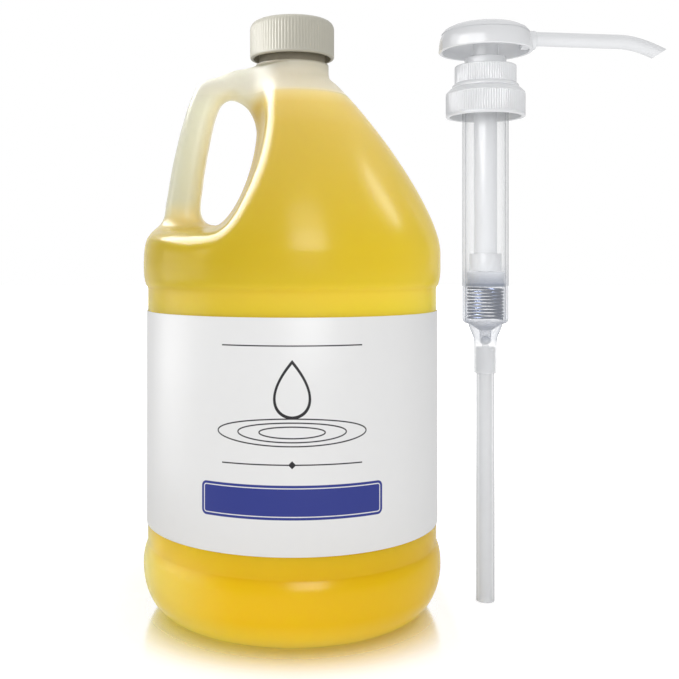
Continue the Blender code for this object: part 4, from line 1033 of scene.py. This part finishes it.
def make_piston():
    """The stem's foot: a cup round the stem, over the seat of the outlet ball."""
    cup, cup_bore, foot_radius, seat_bore, chamber = 0.0084, 0.0063, 0.0046, 0.0017, 0.0030
    top, cup_floor, cup_foot, seat, foot = 0.1825, 0.1759, 0.1731, 0.1746, 0.1655
    section = [(cup, top, 0.0004), (cup, cup_foot, 0.0004), (foot_radius, cup_foot)]
    section += [(foot_radius, foot, FINE_EDGE), (seat_bore, foot, FINE_EDGE), (seat_bore, seat)]
    section += [(chamber, cup_floor), (cup_bore, cup_floor), (cup_bore, top)]
    pump_piece("piston_foot", section, PUMP_PLASTIC, "plunger", "white_pump_plastic", "piston")


def make_stem():
    radius, neck, bore, top, shoulder, foot = 0.0060, 0.0050, 0.0040, 0.2945, 0.2852, 0.1762
    section = [(neck, top, EDGE), (neck, shoulder), (radius, shoulder, EDGE), (radius, 0.23)]
    section += [(radius, foot, EDGE), (bore, foot), (bore, top)]
    pump_piece("stem_rod", section, PUMP_PLASTIC, "plunger", "white_pump_plastic", "stem", steps=64)


def make_spring():
    """The coil spring. Each ring of its wire moves as one, so that the wire stays round as the coil opens."""
    low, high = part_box("return_spring")
    wire, radius, turns, per_turn, sides = 0.0006, 0.0089, 9.5, 32, 12
    foot, rise = low.z + wire, high.z - low.z - 2 * wire
    rings = round(turns * per_turn) + 1

    def place(i, angle):
        turned = 2 * math.pi * i / per_turn
        outwards = Vector((math.cos(turned), math.sin(turned), 0))
        level = foot + rise * i / (rings - 1)
        return outwards * (radius + wire * math.cos(angle)) + Vector((0, 0, level + wire * math.sin(angle)))

    shape = close_ends(sweep(rings, sides, place))
    piece = finished("coil_spring", shape, PUMP_X, STEEL, None, "spring_steel", "return_spring")
    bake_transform(piece, "pump_housing", "piston_seal", (PUMP_X, 0, low.z), (PUMP_X, 0, high.z))
    for i, weight in enumerate(piece.data.attributes["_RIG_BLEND"].data):
        weight.value = (i // sides) / (rings - 1)


def rod(radius, start, end, sides):
    """A closed cylinder between two points."""
    start, end = Vector(start), Vector(end)
    shape = bmesh.new()
    length = (end - start).length
    bmesh.ops.create_cone(shape, cap_ends=True, segments=sides, radius1=radius, radius2=radius, depth=length)
    turned = (end - start).to_track_quat("Z", "Y").to_matrix().to_4x4()
    bmesh.ops.transform(shape, matrix=Matrix.Translation((start + end) / 2) @ turned, verts=shape.verts)
    return shape


def make_head():
    """The domed head with its hub and the boss that holds the spout."""
    skirt, hub, bore, boss_level = 0.2883, 0.0066, 0.0053, 0.2946
    ceiling, bore_top, hub_foot = 0.2997, 0.2948, 0.2855
    section = [(0.0, 0.3031), (0.008, 0.3029), (0.0150, 0.3022, 0.002), (0.0205, 0.3010, 0.0040)]
    section += [(0.0238, 0.2965, 0.0040), (0.0244, skirt, 0.0006), (0.0226, skirt, 0.0004)]
    section += [(0.0220, 0.2950, 0.0030), (0.0190, ceiling, 0.0020), (hub, ceiling), (hub, hub_foot, EDGE)]
    section += [(bore, hub_foot, FINE_EDGE), (bore, bore_top), (0.0, bore_top)]
    shape = turn(outline(section), 128)
    boss = rod(0.0049, (0.0185, 0, boss_level), (BOSS_END, 0, boss_level), 64)
    rim = [edge for edge in boss.edges if all(corner.co.x > BOSS_END - 0.0002 for corner in edge.verts)]
    round_edges(boss, rim, 0.0006, 3)
    add_shape(shape, boss)
    finished("head_dome", shape, PUMP_X, PUMP_PLASTIC, "plunger", "white_pump_plastic", "pump_head")


def spout_line(count):
    """The spout's middle line: straight out of the boss with a slight droop, then bending down to the tip."""
    root = Vector((BOSS_END, 0, SPOUT_LEVEL))
    slope, fall = (SPOUT_KNEE - root).normalized(), (SPOUT_TIP - SPOUT_KNEE).normalized()
    bend = (SPOUT_TIP - SPOUT_KNEE).length / 3
    lifted = (SPOUT_TIP - fall * bend).xz + Vector((0, 0.0015))
    bent = curve(SPOUT_KNEE.xz, (SPOUT_KNEE + slope * bend).xz, lifted, SPOUT_TIP.xz, count)
    points = [Vector((0.0205, 0, SPOUT_LEVEL)), root, Vector((0.048, 0, SPOUT_LEVEL - 0.00075))]
    points += [Vector((x, 0, z)) for x, z in bent]
    return points + [points[-1] + (points[-1] - points[-2]).normalized() * 0.012]


def make_spout():
    """The bored spout with a slanting cut at its tip."""
    points = spout_line(14)
    last = len(points) - 1
    headings = [(points[min(i + 1, last)] - points[max(i - 1, 0)]).normalized() for i in range(last + 1)]
    sideways = Vector((0, 1, 0))

    def tube(radius):
        def place(i, angle):
            upwards = headings[i].cross(sideways)
            return points[i] + radius * (math.cos(angle) * sideways + math.sin(angle) * upwards)

        return sweep(last + 1, 48, place)

    shape = add_shape(tube(SPOUT_RADIUS), tube(SPOUT_BORE))
    slant = Vector((math.cos(SPOUT_SLANT), 0, -math.sin(SPOUT_SLANT)))
    tip = SPOUT_TIP - slant * SPOUT_RADIUS * math.cos(SPOUT_SLANT)
    cut_away(shape, tip, slant)
    for end in (lambda place: place.x < SPOUT_KNEE.x, lambda place: place.x > SPOUT_KNEE.x):
        bmesh.ops.bridge_loops(shape, edges=open_edges(shape, end))
    face_outwards(shape)
    sharp = [edge for edge in shape.edges if edge.calc_face_angle(0) > 0.9]
    lips = [edge for edge in sharp if edge.verts[0].co.x > SPOUT_KNEE.x]
    round_edges(shape, lips, 0.00025, 2)
    finished("spout_tube", shape, PUMP_X, PUMP_PLASTIC, "plunger", "white_pump_plastic", "spout")


def dress_ball_cage():
    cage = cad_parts["ball_cage"]
    cage.data.materials.clear()
    cage.data.materials.append(PUMP_PLASTIC)


# Stage


def make_floor():
    """A white floor that mirrors the jug's foot softly and whitens away from it."""
    shape = bmesh.new()
    bmesh.ops.create_grid(shape, x_segments=1, y_segments=1, size=6)
    floor = as_object("floor", shape)
    finish = Finish("white_floor", base_color=(0.92, 0.92, 0.92), roughness=0.6, specular_ior_level=0.2)
    x, y, _ = finish.axes(finish.place())
    away = ((x - JUG_X) ** 2.0 + y**2.0) ** 0.5
    seen = finish.add("LightPath", output="Is Camera Ray")
    strength = seen * (0.40 + 0.60 * finish.ramp(away, 0.10, 0.60))
    glow = finish.add("Emission", None, {"Color": WHITE, "Strength": strength})
    lit = finish.add("AddShader", None, {0: Socket(finish, finish.shader.outputs[0]), 1: glow})
    gloss = finish.add("BsdfGlossy", None, {"Color": WHITE, "Roughness": 0.14})
    near, in_front = finish.ramp(away, 0.102, 0.064), finish.ramp(y, 0.040, 0.0)
    both = finish.add("MixShader", None, {0: 0.95 * near * in_front, 1: lit, 2: gloss})
    finish.join(finish.tree.nodes["Material Output"].inputs["Surface"], both)
    floor.data.materials.append(finish.material)


def make_card(strength):
    """A white card between the jug and the pump, out of sight, so that neither tints the other."""
    shape = bmesh.new()
    bmesh.ops.create_grid(shape, x_segments=1, y_segments=1, size=0.5)
    bmesh.ops.scale(shape, vec=(0.33, 0.22, 1), verts=shape.verts)
    upright = Matrix.Rotation(math.pi / 2, 3, "Y")
    bmesh.ops.rotate(shape, verts=shape.verts, cent=(0, 0, 0), matrix=upright)
    bmesh.ops.translate(shape, verts=shape.verts, vec=(0.0185, 0, 0.17))
    card = as_object("white_card", shape)
    card.visible_camera = card.visible_glossy = card.visible_transmission = card.visible_shadow = False
    finish = Finish("card_white", base_color=(0.0, 0.0, 0.0), specular_ior_level=0.0)
    finish.feed("Emission Color", WHITE)
    finish.feed("Emission Strength", strength)
    card.data.materials.append(finish.material)


def make_world(ambient, front):
    """A white studio: plain light on the object, and a room that mirrors dimmer at its front and sides."""
    world = bpy.data.worlds.new("studio")
    bpy.context.scene.world = world
    world.use_nodes = True
    studio = Nodes(world.node_tree)
    x, y, _ = studio.axes(studio.add("TexCoord", output="Generated"))
    behind = front + (1.0 - front) * studio.ramp(y, -0.35, 0.25)
    right = 1.0 - 0.70 * studio.ramp(x, 0.15, 0.85)
    left = 0.25 + 0.75 * studio.ramp(x, -0.85, -0.15)
    camera = studio.add("LightPath", output="Is Camera Ray")
    mirrored = camera.also("Is Glossy Ray").larger(camera.also("Is Transmission Ray"))
    room = ambient * (1.0 - mirrored.larger(camera))
    seen = (mirrored * (behind * right * left)).larger(camera)
    background = studio.tree.nodes["Background"]
    studio.join(background.inputs["Color"], WHITE)
    studio.join(background.inputs["Strength"], room + seen)


def softbox(name, place, target, size, watts, only, fill=True, shine=True, shadow=True, spread=180):
    """A soft lamp. It may be for fill or for shine alone, for only some of the pieces, or a narrow beam."""
    light = bpy.data.lights.new(name, "AREA")
    light.shape = "RECTANGLE"
    light.size, light.size_y = size
    light.energy, light.use_shadow, light.spread = watts, shadow, math.radians(spread)
    lamp = bpy.data.objects.new(name, light)
    lamp.location = place
    lamp.rotation_euler = (Vector(target) - Vector(place)).to_track_quat("-Z", "Y").to_euler()
    lamp.visible_camera, lamp.visible_diffuse, lamp.visible_glossy = False, fill, shine
    bpy.context.scene.collection.objects.link(lamp)
    if only:
        lit = bpy.data.collections.new(name)
        for piece in only:
            lit.objects.link(bpy.data.objects[piece])
        lamp.light_linking.receiver_collection = lit


def make_camera():
    """The photograph's view: level, with the picture shifted in place of a tilt."""
    camera = bpy.data.objects.new("camera", bpy.data.cameras.new("camera"))
    camera.location = (JUG_X, -0.51308, 0.179578)
    camera.rotation_euler = (math.radians(90), 0, 0)
    camera.data.sensor_width = 36
    camera.data.lens = 51.694
    camera.data.shift_x, camera.data.shift_y = 0.0698, -0.11856
    camera.data.clip_start = 0.01
    bpy.context.scene.collection.objects.link(camera)
    bpy.context.scene.camera = camera


# The pieces that a lamp may be kept to, what it may give, and the two sides of the finger gap
JUG, FILM, CAP, COIL = ("jug_shell",), ("label_film",), ("cap_shell",), ("coil_spring",)
STEM = ("stem_rod", "piston_foot")
PUMP = ("head_dome", "spout_tube", "lock_ring", "retainer_collar", "closure_collar", *STEM)
FILL, SHINE = {"shine": False}, {"fill": False}
CLEAR_FILL, CLEAR_SHINE = {"shine": False, "shadow": False}, {"fill": False, "shadow": False}

RECESS_WALL, GRIP_INSIDE = (JUG_X - 0.012, -0.03, 0.235), (JUG_X - 0.05, -0.005, 0.235)

# Each lamp's name, place, aim, width and height, watts, pieces and kind
LAMPS = (
    ("front_softbox", (0.22, -1.25, 0.52), (0.0, 0, 0.18), (0.70, 0.45), 3.6, (), FILL),
    ("front_window", (0.20, -1.18, 0.60), (JUG_X, 0, 0.18), (0.50, 0.65), 6.4, (*JUG, *FILM), SHINE),
    ("high_window", (0.16, -1.00, 1.10), (JUG_X, 0, 0.20), (0.50, 0.50), 2.6, JUG, SHINE),
    ("cap_key", (-0.64, -0.10, 0.56), (JUG_X, 0, 0.28), (0.30, 0.30), 2.5, CAP, {}),
    ("cap_shine", (-0.54, -0.13, 0.38), (JUG_X, 0, 0.295), (0.70, 0.30), 4.2, CAP, SHINE),
    ("label_key", (-0.72, -0.30, 0.35), (JUG_X, 0, 0.12), (0.30, 0.50), 0.6, FILM, FILL),
    ("label_shine", (-0.655, 0.073, 0.12), (JUG_X, 0, 0.10), (0.37, 0.50), 2.0, FILM, SHINE),
    ("ridge_strip", (-0.62, 0.20, 0.80), (JUG_X, 0, 0.22), (0.70, 0.60), 15.5, JUG, SHINE),
    ("neck_strip", (-0.68, -0.22, 0.40), (JUG_X, 0, 0.28), (0.16, 0.22), 0.006, JUG, {**SHINE, "spread": 9}),
    ("right_strip", (0.56, 0.04, 0.66), (JUG_X, 0, 0.21), (0.10, 0.30), 0.9, JUG, SHINE),
    ("right_glow", (0.70, -0.25, 0.22), (JUG_X, 0, 0.20), (0.40, 0.40), 0.30, JUG, CLEAR_FILL),
    ("left_glow", (-0.76, -0.10, 0.09), (JUG_X, 0, 0.09), (0.10, 0.10), 0.014, JUG, {**FILL, "spread": 16}),
    ("left_shine", (-0.76, -0.04, 0.12), (JUG_X, 0, 0.10), (0.60, 0.30), 0.75, JUG, SHINE),
    ("neck_glow", (JUG_X, -0.6, 0.9), (JUG_X, -0.02, 0.27), (0.10, 0.05), 0.0034, JUG, {**FILL, "spread": 4}),
    ("foot_glow", (JUG_X, -0.15, -0.30), (JUG_X, -0.06, 0.0), (0.40, 0.20), 0.55, JUG, CLEAR_FILL),
    ("gap_glow", RECESS_WALL, GRIP_INSIDE, (0.03, 0.07), 0.012, JUG, CLEAR_FILL),
    ("pump_key", (-0.35, -1.00, 0.42), (PUMP_X, 0, 0.25), (0.25, 0.30), 0.9, PUMP, {}),
    ("pump_shine", (-0.45, -0.50, 0.44), (PUMP_X, 0, 0.28), (0.90, 0.50), 11.0, PUMP, SHINE),
    ("pump_side", (-0.66, -0.10, 0.44), (PUMP_X, 0, 0.27), (0.60, 0.50), 3.8, PUMP, CLEAR_SHINE),
    ("coil_shine", (-0.50, -0.30, 0.20), (PUMP_X, 0, 0.16), (0.20, 0.40), 66.0, COIL, CLEAR_SHINE),
    ("stem_key", (-0.50, -0.25, 0.25), (PUMP_X, 0, 0.22), (0.30, 0.30), 1.7, STEM, CLEAR_FILL),
    ("pump_under", (PUMP_X, -0.12, -0.50), (PUMP_X, 0, 0.27), (0.40, 0.30), 2.4, PUMP, CLEAR_FILL),
)

make_camera()
make_jug()
make_neck_thread()
make_oil()
make_label()
make_cap()
make_liner()
make_dip_tube()
make_barrel()
make_balls()
make_gasket()
make_closure()
make_retainer()
make_bushing()
make_seal()
make_piston()
make_stem()
make_spring()
make_head()
make_spout()
dress_ball_cage()
make_floor()
make_card(0.70)
make_world(ambient=0.72, front=0.15)
for *values, kind in LAMPS:
    softbox(*values, **kind)
bpy.context.scene.view_settings.view_transform = "Standard"
